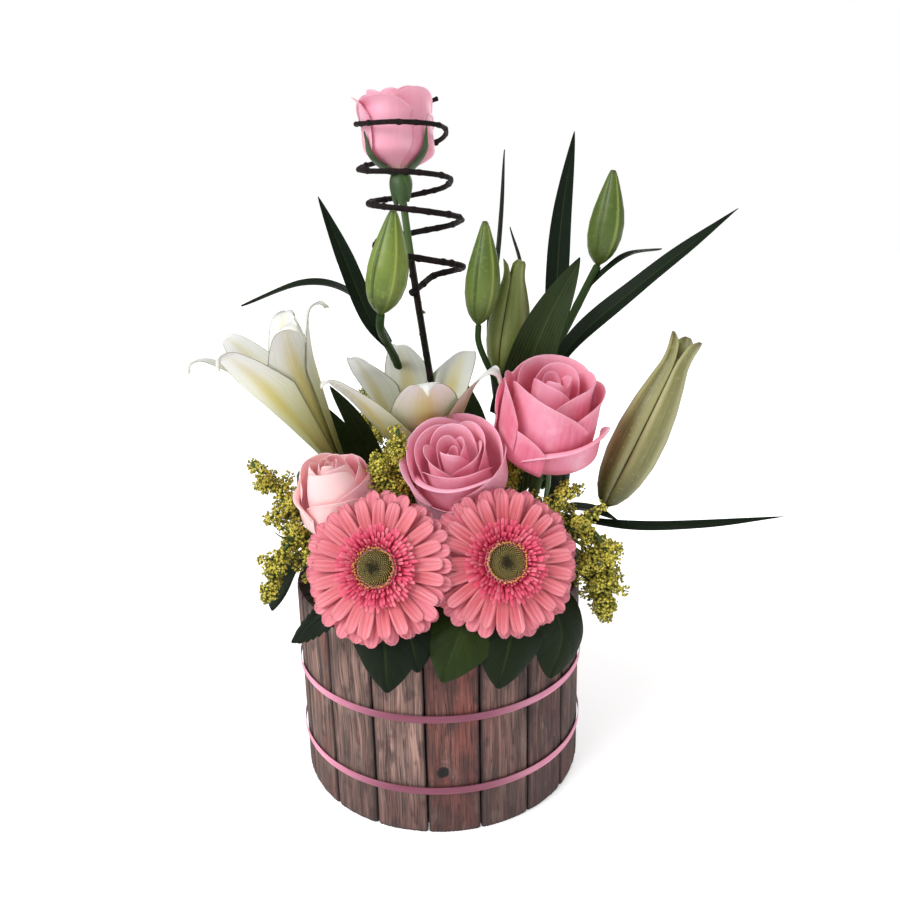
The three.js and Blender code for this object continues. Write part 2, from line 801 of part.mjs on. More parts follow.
// The sepals lie along the outside of the outer petals' lower part.
function roseSepals(rose, grow) {
  const place = standing(rose.base, rose.axis, rose.turn);
  const outer = ROSE_LAYERS[ROSE_LAYERS.length - 1];
  const belly = rose.radius * outer.radius;
  return joined(
    Array.from({ length: 5 }, (_, k) => {
      const angle = ((k + 0.5) / 5) * 2 * Math.PI;
      const surface = (u, v) => {
        const r = 3.5 + (belly - 3.5) * Math.sin(0.38 * Math.PI * v) + 3 * Math.min(1, 4 * v);
        const z = rose.height * outer.height * 0.38 * v - 4 + 1.4 * v;
        return v3(r, u * 4 * (1 - 0.85 * v), z).applyAxisAngle(v3(0, 0, 1), angle).applyMatrix4(place);
      };
      return blade(surface, 2, [0.05, 0.5], grow);
    }),
  );
}

// ---------------------------------------------------------------- lilies and buds
function lilyTepal(lily, k) {
  const inner = k % 2 === 1;
  const rib = new THREE.SplineCurve(lily.rib.map(([r, z]) => new THREE.Vector2(r, z)));
  const middle = (k / 6) * 2 * Math.PI;
  const half = lily.tepalHalfWidth * (inner ? 1.1 : 0.85);
  return (u, v) => {
    const at = rib.getPoint(v);
    const r = at.x * (1 + (lily.reach[k] - 1) * v) - (inner ? Math.min(2.6, 0.4 * at.x) : 0);
    const width = half * Math.sin(Math.PI * Math.pow(0.08 + 0.92 * v, 0.8)) ** 0.8;
    const angle = middle + u * Math.min(0.8, width / r);
    const x = r * Math.cos(angle);
    return v3(x, r * Math.sin(angle), at.y - 0.12 * width * u * u - lily.tilt * x * v * v);
  };
}

function lilyBloom(lily, grow) {
  const place = standing(lily.base, lily.axis, lily.turn);
  const tepals = Array.from({ length: 6 }, (_, k) => {
    const tepal = lilyTepal(lily, k);
    return blade((u, v) => tepal(u, v).applyMatrix4(place), 2, [0.06, 0.25, 0.45, 0.65, 0.84], grow);
  });
  const throat = turned(
    [
      [0, -1],
      [4.6, -0.5],
      [4.2, 7],
      [0, 8],
    ],
    8,
    place,
  );
  return joined([throat, ...tepals, lilyStamens(lily, grow)]);
}

function lilyStamens(lily, grow) {
  const place = standing(lily.base, lily.axis, lily.turn);
  const height = lily.rib[3][1];
  const onAxis = (points) => points.map((p) => v3(...p).applyMatrix4(place));
  const style = stalk(onAxis([[0, 0, 5], [1, 0, height * 1.08]]), (t) => 1.8 - 0.7 * t, grow, 4, 1);
  const stamens = Array.from({ length: 6 }, (_, k) => {
    const angle = ((k + 0.5) / 6) * 2 * Math.PI;
    const [x, y] = [Math.cos(angle), Math.sin(angle)];
    const path = [
      [x * 0.3, y * 0.3, 11],
      [x * 6, y * 6, height * 0.7],
      [x * 8.5, y * 8.5, height],
      [x * 14, y * 14, height + 2],
    ];
    return stalk(onAxis(path), (t) => (t > 0.6 ? 1.5 : 0.7), grow, 3, 3);
  });
  return joined([style, ...stamens]);
}

// A bud of three valves with a groove between each two. A parted one ends in three bent tips.
function lilyBud({ base, tip, radius, parted = 0 }, grow) {
  const length = base.distanceTo(tip);
  const place = standing(base, tip.clone().sub(base));
  const stations = [
    [0.01, 0.3],
    [0.1, 0.72],
    [0.26, 0.98],
    [0.45, 1],
    [0.64, 0.84],
    [0.82, 0.53],
    [0.95, parted ? 0.34 : 0.18],
  ];
  const sides = 9;
  const ring = (height, ridge, groove) =>
    Array.from({ length: sides }, (_, k) => {
      const angle = (k / sides) * 2 * Math.PI;
      const inGroove = k % 3 === 0;
      const r = (inGroove ? groove : ridge) + grow;
      const z = inGroove && parted ? Math.min(height, length * 0.93) : height;
      return v3(r * Math.cos(angle), r * Math.sin(angle), z);
    });
  const rings = stations.map(([t, share]) => ring(length * t, radius * share, radius * share * 0.86));
  if (parted) rings.push(ring(length, radius * 0.3 + parted, radius * 0.2));
  const end = v3(0, 0, length * (parted ? 0.88 : 1) + grow);
  return solidOf(loft(v3(0, 0, -grow), rings, end).applyMatrix4(place));
}

// ---------------------------------------------------------------- leaves
// A leaf about its rib. widthAt gives the share of the half width for 0..1 along the rib, and
// fold raises the two edges over the rib.
function leafSurface(rib, facing, halfWidth, widthAt, fold) {
  const curve = new THREE.CatmullRomCurve3(rib);
  return (u, v) => {
    const tangent = curve.getTangentAt(v);
    const side = tangent.clone().cross(facing).normalize();
    const up = side.clone().cross(tangent).normalize();
    const half = halfWidth * widthAt(v);
    return curve
      .getPointAt(v)
      .addScaledVector(side, u * half)
      .addScaledVector(up, fold * half * u * u);
  };
}

const strapWidth = (v) => Math.sin(Math.PI * Math.pow(0.1 + 0.9 * v, 0.85)) ** 0.8;
const ovateWidth = (v) => Math.sin(Math.PI * Math.pow(0.03 + 0.97 * v, 1.15)) ** 0.75;

const strapLeaf = ({ rib, facing, halfWidth }, grow) =>
  blade(leafSurface(rib, facing, halfWidth, strapWidth, 0.25), 2, [0.05, 0.27, 0.5, 0.72, 0.92], grow);

// A broad leaf faces up and outwards: a hanging one shows its face, a standing one leans out.
function broadLeaf({ rib, halfWidth }, grow) {
  const [first, last] = [rib[0], rib[rib.length - 1]];
  const hanging = last.z < first.z + 20;
  const lift = hanging ? 0.8 : 0.2;
  const facing = v3(last.x, last.y, 0).normalize().add(v3(0, 0, lift));
  return blade(leafSurface(rib, facing, halfWidth, ovateWidth, -0.22), 2, [0.05, 0.25, 0.48, 0.7, 0.9], grow);
}

// ---------------------------------------------------------------- goldenrod
// A seeded draw of numbers from 0 to 1, the same on every run.
function seededDraw(seed) {
  let state = seed;
  return () => {
    state = (state * 1664525 + 1013904223) % 4294967296;
    return state / 4294967296;
  };
}

// A side branch of a spray: a string of florets, as beads that sit to one side and the other.
function floretString(path, size, grow) {
  const curve = new THREE.CatmullRomCurve3(path);
  const count = Math.max(2, Math.round(curve.getLength() / FLORET_SPACING));
  const frames = curve.computeFrenetFrames(2 * count);
  const rings = [];
  for (let i = 1; i < 2 * count; i++) {
    const onBead = i % 2 === 1;
    const r = (onBead ? size : size * 0.45) + grow;
    const shift = onBead ? 0.5 * size * (i % 4 === 1 ? 1 : -1) : 0;
    const centre = curve.getPointAt(i / (2 * count)).addScaledVector(frames.binormals[i], shift);
    rings.push(
      [0, 1, 2].map((side) => {
        const angle = (side / 3) * 2 * Math.PI;
        return centre
          .clone()
          .addScaledVector(frames.normals[i], r * Math.cos(angle))
          .addScaledVector(frames.binormals[i], r * Math.sin(angle));
      }),
    );
  }
  const tip = curve.getPointAt(1).addScaledVector(frames.tangents[2 * count], grow);
  return solidOf(loft(curve.getPointAt(0), rings, tip));
}

const FLORET_SPACING = 8.4;
const FLORET_SIZE = 4.8;

const GOLDENROD_STEPS = 10; // the strings of florets start at the stem's own corners
const LAST_STRING = 0.96; // share of the stem's length, just short of its point

function goldenrodHead({ stem, branches, reach }, seed, grow) {
  const draw = seededDraw(seed);
  const curve = new THREE.CatmullRomCurve3(stem);
  const strings = Array.from({ length: branches }, (_, b) => {
    const t = Math.min(LAST_STRING, (GOLDENROD_STEPS - branches + 1 + b) / GOLDENROD_STEPS);
    const foot = curve.getPointAt(t);
    const tangent = curve.getTangentAt(t);
    const angle = b * 2.4 + draw() * 0.5;
    const side = v3(tangent.y, -tangent.x, 0.2).normalize();
    const other = side.clone().cross(tangent).normalize();
    const out = side.multiplyScalar(Math.cos(angle)).addScaledVector(other, Math.sin(angle));
    const share = b / (branches - 1);
    const length = reach * (1.1 - 0.55 * share) * (0.85 + 0.3 * draw());
    const spread = 1 - 0.6 * share ** 3;
    const along = (sideways, ahead) =>
      foot.clone().addScaledVector(out, length * sideways * spread).addScaledVector(tangent, length * ahead);
    return floretString([foot, along(0.5, 0.45), along(1, 0.6)], FLORET_SIZE, grow);
  });
  return joined(strings);
}

const goldenrodStem = ({ stem }, grow) =>
  stalk(stem, (t) => GOLDENROD_STEM_RADIUS - 0.7 * t, grow, 4, GOLDENROD_STEPS);

// ---------------------------------------------------------------- twig coil
function twigCoil(grow) {
  const { centreTop, lean, radius, pitch, firstTurn, lastTurn, stepsPerTurn, dip, twigRadius } = COIL;
  const path = [];
  const steps = Math.round((lastTurn - firstTurn) * stepsPerTurn);
  for (let i = 0; i <= steps; i += 2) {
    const turns = firstTurn + (i / steps) * (lastTurn - firstTurn);
    const angle = turns * 2 * Math.PI;
    const drop = turns * pitch;
    const sway = 1.6 * Math.sin(angle * 0.63);
    const hang = dip * Math.sin(angle / 2) ** 2 * Math.min(1, Math.max(0, 1.5 - turns));
    path.push(
      v3(
        centreTop.x + lean * drop + (radius + sway) * Math.cos(angle),
        centreTop.y + (radius + sway) * Math.sin(angle),
        centreTop.z - drop - hang + 1.5 * Math.cos(angle * 0.5),
      ),
    );
  }
  const taper = (t) => twigRadius * (0.72 + 0.42 * t);
  const coil = stalk([...path, ...COIL.tail], taper, grow, 4, steps + COIL.tail.length * 2);
  return coil.add(stalk(COIL.leg, COIL.legRadius, grow));
}

// ---------------------------------------------------------------- the arrangement
// Stalks come first: each bloom and leaf is cut clear of every stalk, then of the pieces
// that were placed before it. The foam is cut last and keeps a plain hole for each stalk.
const plants = [];
const plant = (name, material, core, trim) => plants.push({ name, material, core, trim });

plant("twig_coil", MATERIALS.twig, twigCoil, null);
for (const [side, rose] of Object.entries(ROSES)) {
  plant(`rose_${side}_bloom`, side === "left" ? MATERIALS.rosePale : MATERIALS.rosePink, null, (grow) =>
    roseBloom(rose, grow),
  );
}
for (const [side, gerbera] of Object.entries(GERBERAS)) {
  plant(`gerbera_${side}_rays`, MATERIALS.gerbera, null, (grow) => gerberaRays(gerbera, grow));
  plant(`gerbera_${side}_eye`, MATERIALS.gerberaEye, null, (grow) => gerberaEye(gerbera, grow));
}
for (const [side, lily] of Object.entries(LILIES)) {
  plant(`lily_${side}_bloom`, MATERIALS.lily, null, (grow) => lilyBloom(lily, grow));
}
for (const [number, bud] of Object.entries(BUDS)) {
  plant(`lily_bud_${number}`, bud.parted ? MATERIALS.budPale : MATERIALS.bud, null, (grow) =>
    lilyBud(bud, grow),
  );
}
for (const [side, gerbera] of Object.entries(GERBERAS)) {
  plant(`gerbera_${side}_stem`, MATERIALS.stem, (grow) => gerberaStemCore(gerbera, grow), null);
}
for (const [side, rose] of Object.entries(ROSES)) {
  plant(
    `rose_${side}_stem`,
    MATERIALS.stem,
    (grow) => roseStemCore(rose, grow),
    (grow) => roseSepals(rose, grow),
  );
}
for (const [side, { stalks, leaves }] of Object.entries(LILY_STEMS)) {
  plant(
    `lily_${side}_stem`,
    MATERIALS.leaf,
    (grow) => joined(stalks.map(({ path, radius }) => stalk(path, radius, grow))),
    (grow) => joined(leaves.map((leaf) => strapLeaf(leaf, grow))),
  );
}
for (const [side, { stem, leaves }] of Object.entries(SPRIGS)) {
  plant(
    `broadleaf_${side}`,
    MATERIALS.leaf,
    (grow) => stalk(stem, SPRIG_STEM_RADIUS, grow),
    (grow) => joined(leaves.map((leaf) => broadLeaf(leaf, grow))),
  );
}
Object.entries(GOLDENROD).forEach(([side, spray], seed) =>
  plant(
    `goldenrod_${side}`,
    MATERIALS.goldenrod,
    (grow) => goldenrodStem(spray, grow),
    (grow) => goldenrodHead(spray, 11 + seed, grow),
  ),
);

const arrangement = new THREE.Group();

function addMesh(name, geometry, material, parent = arrangement) {
  const mesh = new THREE.Mesh(geometry, material);
  mesh.name = name;
  parent.add(mesh);
  return mesh;
}

// A plant's mesh has its own middle as its position, as an artist would place it.
function addPlant(name, solid, material) {
  const geometry = geometryOf(solid);
  geometry.computeBoundingBox();
  const middle = geometry.boundingBox.getCenter(v3(0, 0, 0)).round();
  addMesh(name, geometry.translate(-middle.x, -middle.y, -middle.z), material).position.copy(middle);
}

const tub = new THREE.Group();
arrangement.add(tub);
for (let k = 0; k < STAVE_COUNT; k++) {
  const stave = addMesh(`stave_${String(k + 1).padStart(2, "0")}`, staveGeometry(), MATERIALS.stave, tub);
  stave.rotation.z = -Math.PI / 2 + ((k + FIRST_STAVE_TURN) / STAVE_COUNT) * 2 * Math.PI;
}
addMesh("tub_floor", floorGeometry(), MATERIALS.board, tub);
addMesh("liner", linerGeometry(), MATERIALS.liner, tub);
for (const [side, height] of Object.entries(RIBBON_HEIGHTS)) {
  addMesh(`ribbon_${side}`, ribbonGeometry(), MATERIALS.ribbon, tub).position.z = height;
}

// Solids that leaves and petals are cut clear of: the tub's outside and every stalk.
const tubKeepOut = turned(
  [
    [0, -1],
    [TUB_RADIUS + 1.9, -1],
    [TUB_RADIUS + 1.9, TUB_HEIGHT + GAP],
    [0, TUB_HEIGHT + GAP],
  ],
  45,
);
const stalkKeepOuts = new Map();
for (const { name, core } of plants) {
  if (core) stalkKeepOuts.set(name, core(GAP));
}
const foamKeepOut = foamBlank();
const placed = [];
for (const { name, material, core, trim } of plants) {
  let solid = core ? core(0) : null;
  if (trim) {
    let outer = trim(0).subtract(tubKeepOut).subtract(foamKeepOut);
    for (const [other, keepOut] of stalkKeepOuts) {
      if (other !== name) outer = outer.subtract(keepOut);
    }
    for (const keepOut of placed) outer = outer.subtract(keepOut);
    solid = solid ? solid.add(outer) : outer;
    placed.push(trim(BLADE_GAP));
  }
  addPlant(name, largestBody(solid), material);
}
const foam = stemHoles().reduce((block, hole) => block.subtract(hole), foamBlank());
addPlant("floral_foam", largestBody(foam), MATERIALS.foam);

export default arrangement;
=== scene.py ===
# %% [markdown]
# # A flower arrangement in a round wooden tub
# Two gerberas, four roses, two lilies with their buds, goldenrod and broad leaves stand in wet
# foam, inside a tub of upright boards with two satin ribbons glued round it. The packed model
# holds every piece as a plain solid. This script dresses each of them with a finer piece that
# keeps its place, its size and its form.

# %% Load the packed model as the fixed frame
import math

import bpy
import numpy as np
from mathutils import Matrix, Vector


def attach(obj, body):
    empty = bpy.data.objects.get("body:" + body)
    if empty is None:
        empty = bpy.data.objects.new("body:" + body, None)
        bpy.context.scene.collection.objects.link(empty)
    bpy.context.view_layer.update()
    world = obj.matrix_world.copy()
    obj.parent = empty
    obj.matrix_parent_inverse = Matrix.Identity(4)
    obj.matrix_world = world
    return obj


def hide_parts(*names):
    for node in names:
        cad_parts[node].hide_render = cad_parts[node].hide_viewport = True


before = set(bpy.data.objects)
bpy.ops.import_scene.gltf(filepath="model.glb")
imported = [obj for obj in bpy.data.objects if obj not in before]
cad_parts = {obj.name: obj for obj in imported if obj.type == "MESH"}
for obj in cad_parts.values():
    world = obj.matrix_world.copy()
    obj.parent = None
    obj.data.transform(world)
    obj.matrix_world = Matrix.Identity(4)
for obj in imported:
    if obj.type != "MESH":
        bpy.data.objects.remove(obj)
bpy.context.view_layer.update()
print("solids in the frame:", len(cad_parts))

# %% [markdown]
# ## Camera, floor and light
# The photograph is a studio shot on white, taken a little over half a metre in front of the tub
# and looking slightly down. The backdrop is a wide white floor that runs out into a white world.
# The world is bright to the camera but lights the flowers only gently, so that a broad soft
# lamp from the upper left can model the petals, as in the photograph.

# %% The photograph's camera
CAMERA_PLACE = (0.0, -0.50407, 0.35668)  # metres, fitted to the tub's rim, foot and height
CAMERA_TURN = (74.482, 1.2815, -1.4585)  # degrees about X, Y and Z
CAMERA_LENS = 31.984  # millimetres, on a sensor 36 mm wide


def add_object(name, data):
    made = bpy.data.objects.new(name, data)
    bpy.context.scene.collection.objects.link(made)
    return made


camera = add_object("camera", bpy.data.cameras.new("camera"))
camera.location = CAMERA_PLACE
camera.rotation_euler = [math.radians(angle) for angle in CAMERA_TURN]
camera.data.sensor_width = 36
camera.data.lens = CAMERA_LENS
bpy.context.scene.camera = camera
bpy.context.scene.view_settings.view_transform = "Standard"
print("camera at", CAMERA_PLACE)

# %% Soft studio light
LIGHTS = {
    # name: kind, strength, where it comes from, size (degrees for a sun, metres for a panel)
    "key": ("SUN", 2.45, (-0.8, -0.6, 1.0), 38),
    "front_fill": ("SUN", 0.28, (0.7, -1.0, 0.5), 80),
    "rim": ("AREA", 5.0, (0.5, 0.75, 0.75), 0.7),
}
WORLD_GLOW = 0.36  # how much the white surroundings light the flowers


def aimed_from(made, place, target=(0, 0, 0.2)):
    made.location = place
    made.rotation_euler = (Vector(target) - Vector(place)).to_track_quat("-Z", "Y").to_euler()


for name, (kind, strength, place, size) in LIGHTS.items():
    light = bpy.data.lights.new(name, kind)
    light.energy = strength
    if kind == "SUN":
        light.angle = math.radians(size)
    else:
        light.shape = "DISK"
        light.size = size
    aimed_from(add_object(name, light), place)

world = bpy.data.worlds.new("white_studio")
bpy.context.scene.world = world
world.use_nodes = True
backdrop = world.node_tree.nodes["Background"]
backdrop.inputs["Color"].default_value = (1, 1, 1, 1)
seen = world.node_tree.nodes.new("ShaderNodeLightPath")
glow = world.node_tree.nodes.new("ShaderNodeMapRange")
glow.inputs["To Min"].default_value = WORLD_GLOW
glow.inputs["To Max"].default_value = 1.0
world.node_tree.links.new(seen.outputs["Is Camera Ray"], glow.inputs["Value"])
world.node_tree.links.new(glow.outputs["Result"], backdrop.inputs["Strength"])
print("lights:", ", ".join(LIGHTS))

# %% [markdown]
# ## Shader maths as plain expressions
# A finish is worked out from a few numbers on the surface, such as how far along a petal a point
# lies. Each number is a socket in the node tree. The class below wraps one socket, so that
# `1 - edge * 0.3` adds the Math nodes that it says, and every other node is added by `node`.


# %% One socket of a finish
class Shade:
    def __init__(self, tree, socket=None):
        self.tree = tree
        self.socket = socket

    def node(self, kind, settings=None, inputs=None, output=0):
        made = self.tree.nodes.new(kind)
        for name, value in (settings or {}).items():
            setattr(made, name, value)
        for name, value in (inputs or {}).items():
            if isinstance(value, Shade):
                self.tree.links.new(value.socket, made.inputs[name])
            else:
                made.inputs[name].default_value = value
        return Shade(self.tree, made.outputs[output])

    def math(self, operation, *values):
        return self.node("ShaderNodeMath", {"operation": operation}, dict(enumerate(values)))

    def __add__(self, other):
        return self.math("ADD", self, other)

    def __radd__(self, other):
        return self.math("ADD", other, self)

    def __sub__(self, other):
        return self.math("SUBTRACT", self, other)

    def __rsub__(self, other):
        return self.math("SUBTRACT", other, self)

    def __mul__(self, other):
        return self.math("MULTIPLY", self, other)

    def __rmul__(self, other):
        return self.math("MULTIPLY", other, self)

    def __abs__(self):
        return self.math("ABSOLUTE", self)

    def between(self, low, high):
        """0 below low, 1 above high, and a smooth step from one to the other."""
        limits = {0: self, 1: low, 2: high}
        return self.node("ShaderNodeMapRange", {"interpolation_type": "SMOOTHSTEP"}, limits)

    def numbers(self, name):
        """The three numbers that the mesh holds at each vertex under this name."""
        found = self.node("ShaderNodeAttribute", {"attribute_name": name}, output="Vector")
        return [self.node("ShaderNodeSeparateXYZ", None, {0: found}, output=i) for i in range(3)]

    def vector(self, x, y, z=0.0):
        return self.node("ShaderNodeCombineXYZ", None, {0: x, 1: y, 2: z})

    def spot(self):
        """Where a point lies on the object, in metres."""
        return self.node("ShaderNodeTexCoord", output="Object")

    def noise(self, where, scale, detail, rough=0.5):
        inputs = {"Vector": where, "Scale": scale, "Detail": detail, "Roughness": rough}
        return self.node("ShaderNodeTexNoise", None, inputs)

    def grain(self, x, y, z, detail, rough=0.5):
        """Noise over three numbers, drawn out along each that changes slowly."""
        return self.noise(self.vector(x, y, z), 1.0, detail, rough)

    def speckle(self, scale, detail, rough=0.5):
        """Noise in the object's own space, with about scale spots to the metre."""
        return self.noise(self.spot(), scale, detail, rough)

    def blend(self, amount, first, second):
        """The first colour where amount is 0, and the second where it is 1."""
        inputs = {0: amount, 6: first, 7: second}
        return self.node("ShaderNodeMix", {"data_type": "RGBA"}, inputs, output=2)

    def coats(self, base, *coats):
        """Lays coats over a colour, one on the other. Each is how much of it shows, and its colour."""
        for amount, coat in coats:
            base = self.blend(amount, base, coat)
        return base


print("a finish can use:", ", ".join(name for name in vars(Shade) if not name.startswith("_")))


# %% Starting and closing a finish
def colour(red, green, blue):
    """A colour as seen on a screen, 0 to 255, turned into the light that Blender counts in."""
    return tuple((c / 255 / 12.92 if c <= 10 else ((c / 255 + 0.055) / 1.055) ** 2.4) for c in
                 (red, green, blue)) + (1.0,)


def new_finish(name):
    material = bpy.data.materials.new(name)
    material.use_nodes = True
    material.node_tree.nodes.clear()
    return material, Shade(material.node_tree)


def close_finish(material, paint, base, roughness, relief=None, depth=0.0003, **constants):
    """Joins colour, roughness and relief to the surface. The other values are the same all over."""
    inputs = {"Base Color": base, "Roughness": roughness}
    if relief is not None:
        bump = {"Height": relief, "Distance": depth, "Strength": 1.0}
        inputs["Normal"] = paint.node("ShaderNodeBump", None, bump)
    for name, value in constants.items():
        inputs[name.replace("_", " ").title().replace("Ior", "IOR")] = value
    surface = paint.node("ShaderNodeBsdfPrincipled", {"subsurface_method": "RANDOM_WALK"}, inputs)
    out = material.node_tree.nodes.new("ShaderNodeOutputMaterial")
    material.node_tree.links.new(surface.socket, out.inputs["Surface"])
    return material


GLOW_THROUGH = {"subsurface_weight": 0.22, "subsurface_radius": (1.0, 0.45, 0.35),
                "subsurface_scale": 0.003}  # light that passes through a petal
print("finishes are written as expressions")

# %% [markdown]
# ## The floor
# A plain white floor, wide enough to pass out of sight. It glows faintly, as a light table for
# catalogue pictures does, so the tub's shadow stays pale. It isn't part of the object.


# %% White floor
FLOOR_GLOW = 0.38  # keeps the floor white without hiding the shadow at the tub's foot


def white_floor():
    material, paint = new_finish("white_floor")
    cloud = paint.speckle(3.0, 1.0)
    base = paint.blend(cloud, colour(250, 250, 250), colour(254, 254, 254))
    return close_finish(material, paint, base, 0.6, specular_ior_level=0.1,
                        emission_color=(1, 1, 1, 1), emission_strength=FLOOR_GLOW)


FLOOR_RADIUS = 9.0  # metres
FLOOR_SIDES = 64
floor_mesh = bpy.data.meshes.new("studio_floor")
floor_points = [
    (FLOOR_RADIUS * math.cos(2 * math.pi * i / FLOOR_SIDES),
     FLOOR_RADIUS * math.sin(2 * math.pi * i / FLOOR_SIDES), 0.0)
    for i in range(FLOOR_SIDES)
]
floor_mesh.from_pydata(floor_points, [], [tuple(range(FLOOR_SIDES))])
floor_mesh.materials.append(white_floor())
add_object("studio_floor", floor_mesh)
print("floor radius", FLOOR_RADIUS, "m")

# %% [markdown]
# ## Curves, petals and stalks as meshes
# Nearly everything in a bouquet is one of three things: a thin blade about a curved surface, a
# round stalk along a smooth line, or a body turned about its own axis. Each has one function
# here. All of them work in millimetres, as the solids do, and write their vertices to a `Piece`,
# which turns them into one object in metres. With each vertex goes `place`, where it lies on its
# blade or stalk, and `trait`, what sets this blade apart from the next. The finishes read both.

# %% A smooth curve through points
MM = 0.001
PATH_STEPS = 24  # between two points of a path
FIRST_SEEDS = {
    "rose_bloom": 100, "rose_stem": 300, "gerbera_rays": 500, "gerbera_eye": 700, "gerbera_stem": 900,
    "lily_bloom": 1100, "lily_bud": 1300, "lily_stem": 1500, "broadleaf": 1700, "goldenrod": 1900,
}


class Path:
    """The same centripetal curve through points as the solids follow."""

    def __init__(self, points):
        knots = np.array(points, float)
        knots = np.vstack([2 * knots[0] - knots[1], knots, 2 * knots[-1] - knots[-2]])
        t = np.linspace(0, 1, PATH_STEPS, endpoint=False)[:, None]
        parts = []
        for p0, p1, p2, p3 in zip(knots, knots[1:], knots[2:], knots[3:]):
            d0, d1, d2 = (np.linalg.norm(b - a) ** 0.5 for a, b in ((p0, p1), (p1, p2), (p2, p3)))
            start = ((p1 - p0) / d0 - (p2 - p0) / (d0 + d1) + (p2 - p1) / d1) * d1
            end = ((p2 - p1) / d1 - (p3 - p1) / (d1 + d2) + (p3 - p2) / d2) * d1
            parts.append(
                (2 * t**3 - 3 * t**2 + 1) * p1 + (t**3 - 2 * t**2 + t) * start
                + (3 * t**2 - 2 * t**3) * p2 + (t**3 - t**2) * end
            )
        self.line = np.vstack([*parts, knots[-2:-1]])
        steps_taken = np.linalg.norm(np.diff(self.line, axis=0), axis=1)
        self.reach = np.concatenate([[0], np.cumsum(steps_taken)])
        self.length = self.reach[-1]

    def at(self, share):
        length = np.clip(share, 0, 1) * self.length
        return np.stack([np.interp(length, self.reach, self.line[:, i]) for i in range(3)], -1)

    def heading(self, share):
        step = 0.008
        share = np.asarray(share, float)
        ahead = self.at(np.minimum(share + step, 1)) - self.at(np.maximum(share - step, 0))
        return unit(ahead)

    def frames(self, shares):
        """The heading at each share and two directions across it that turn as little as possible."""
        heads = self.heading(shares)
        side = np.cross(heads[0], (0, 0, 1) if abs(heads[0][2]) < 0.9 else (1, 0, 0))
        sides = []
        for head in heads:
            side = unit(side - head * (side @ head))
            sides.append(side)
        sides = np.array(sides)
        return heads, sides, np.cross(heads, sides)


def unit(vectors):
    return vectors / (np.linalg.norm(vectors, axis=-1, keepdims=True) + 1e-12)


def round_axis(radius, angle, height):
    """Points at a radius, an angle and a height about +Z."""
    return np.stack(np.broadcast_arrays(radius * np.cos(angle), radius * np.sin(angle), height), -1)


def hump(distance, width):
    """1 where the distance is 0, falling smoothly to nearly 0 two widths away."""
    return np.exp(-((distance / width) ** 2))


def ramp(value, low, high):
    """0 at low, 1 at high, straight in between, and level beyond them."""
    return np.clip((value - low) / (high - low), 0, 1)


def draws(kind, number):
    """Random numbers for one piece, the same on every run."""
    return np.random.default_rng(FIRST_SEEDS[kind] + number)


def standing(base, axis, turn=0.0):
    """Brings points from a flower's own frame, +Z out of the bloom, to the flower's place."""
    tilt = Vector((0, 0, 1)).rotation_difference(Vector(axis)).to_matrix()
    turned_by = np.array(tilt @ Matrix.Rotation(turn, 3, "Z"))
    return lambda points: np.asarray(points, float) @ turned_by.T + np.array(base, float)


def ripple(seed, *coordinates, waves=6):
    """Smooth noise, mostly within -1 to 1, as a sum of seeded sine waves over the coordinates."""
    draw = np.random.default_rng(seed)
    total = 0
    for n in range(waves):
        angle = draw.uniform(0, 2 * np.pi)
        for coordinate in coordinates:
            angle = angle + np.asarray(coordinate) * draw.normal(0, 1 + 0.5 * n)
        total = total + np.sin(angle) / (1 + 0.5 * n)
    return total / 2


print("a straight path of 100 mm measures", Path([(0, 0, 0), (0, 0, 100)]).length)


# %% One object of many blades and stalks
def facing_sum(points, faces):
    """Six times the volume under the faces: above 0 when a closed body's faces point outwards."""
    corners = points[np.asarray(faces, int)] - points.mean(0)
    total = 0.0
    for i in range(1, corners.shape[1] - 1):
        total += np.sum(corners[:, 0] * np.cross(corners[:, i], corners[:, i + 1]))
    return total


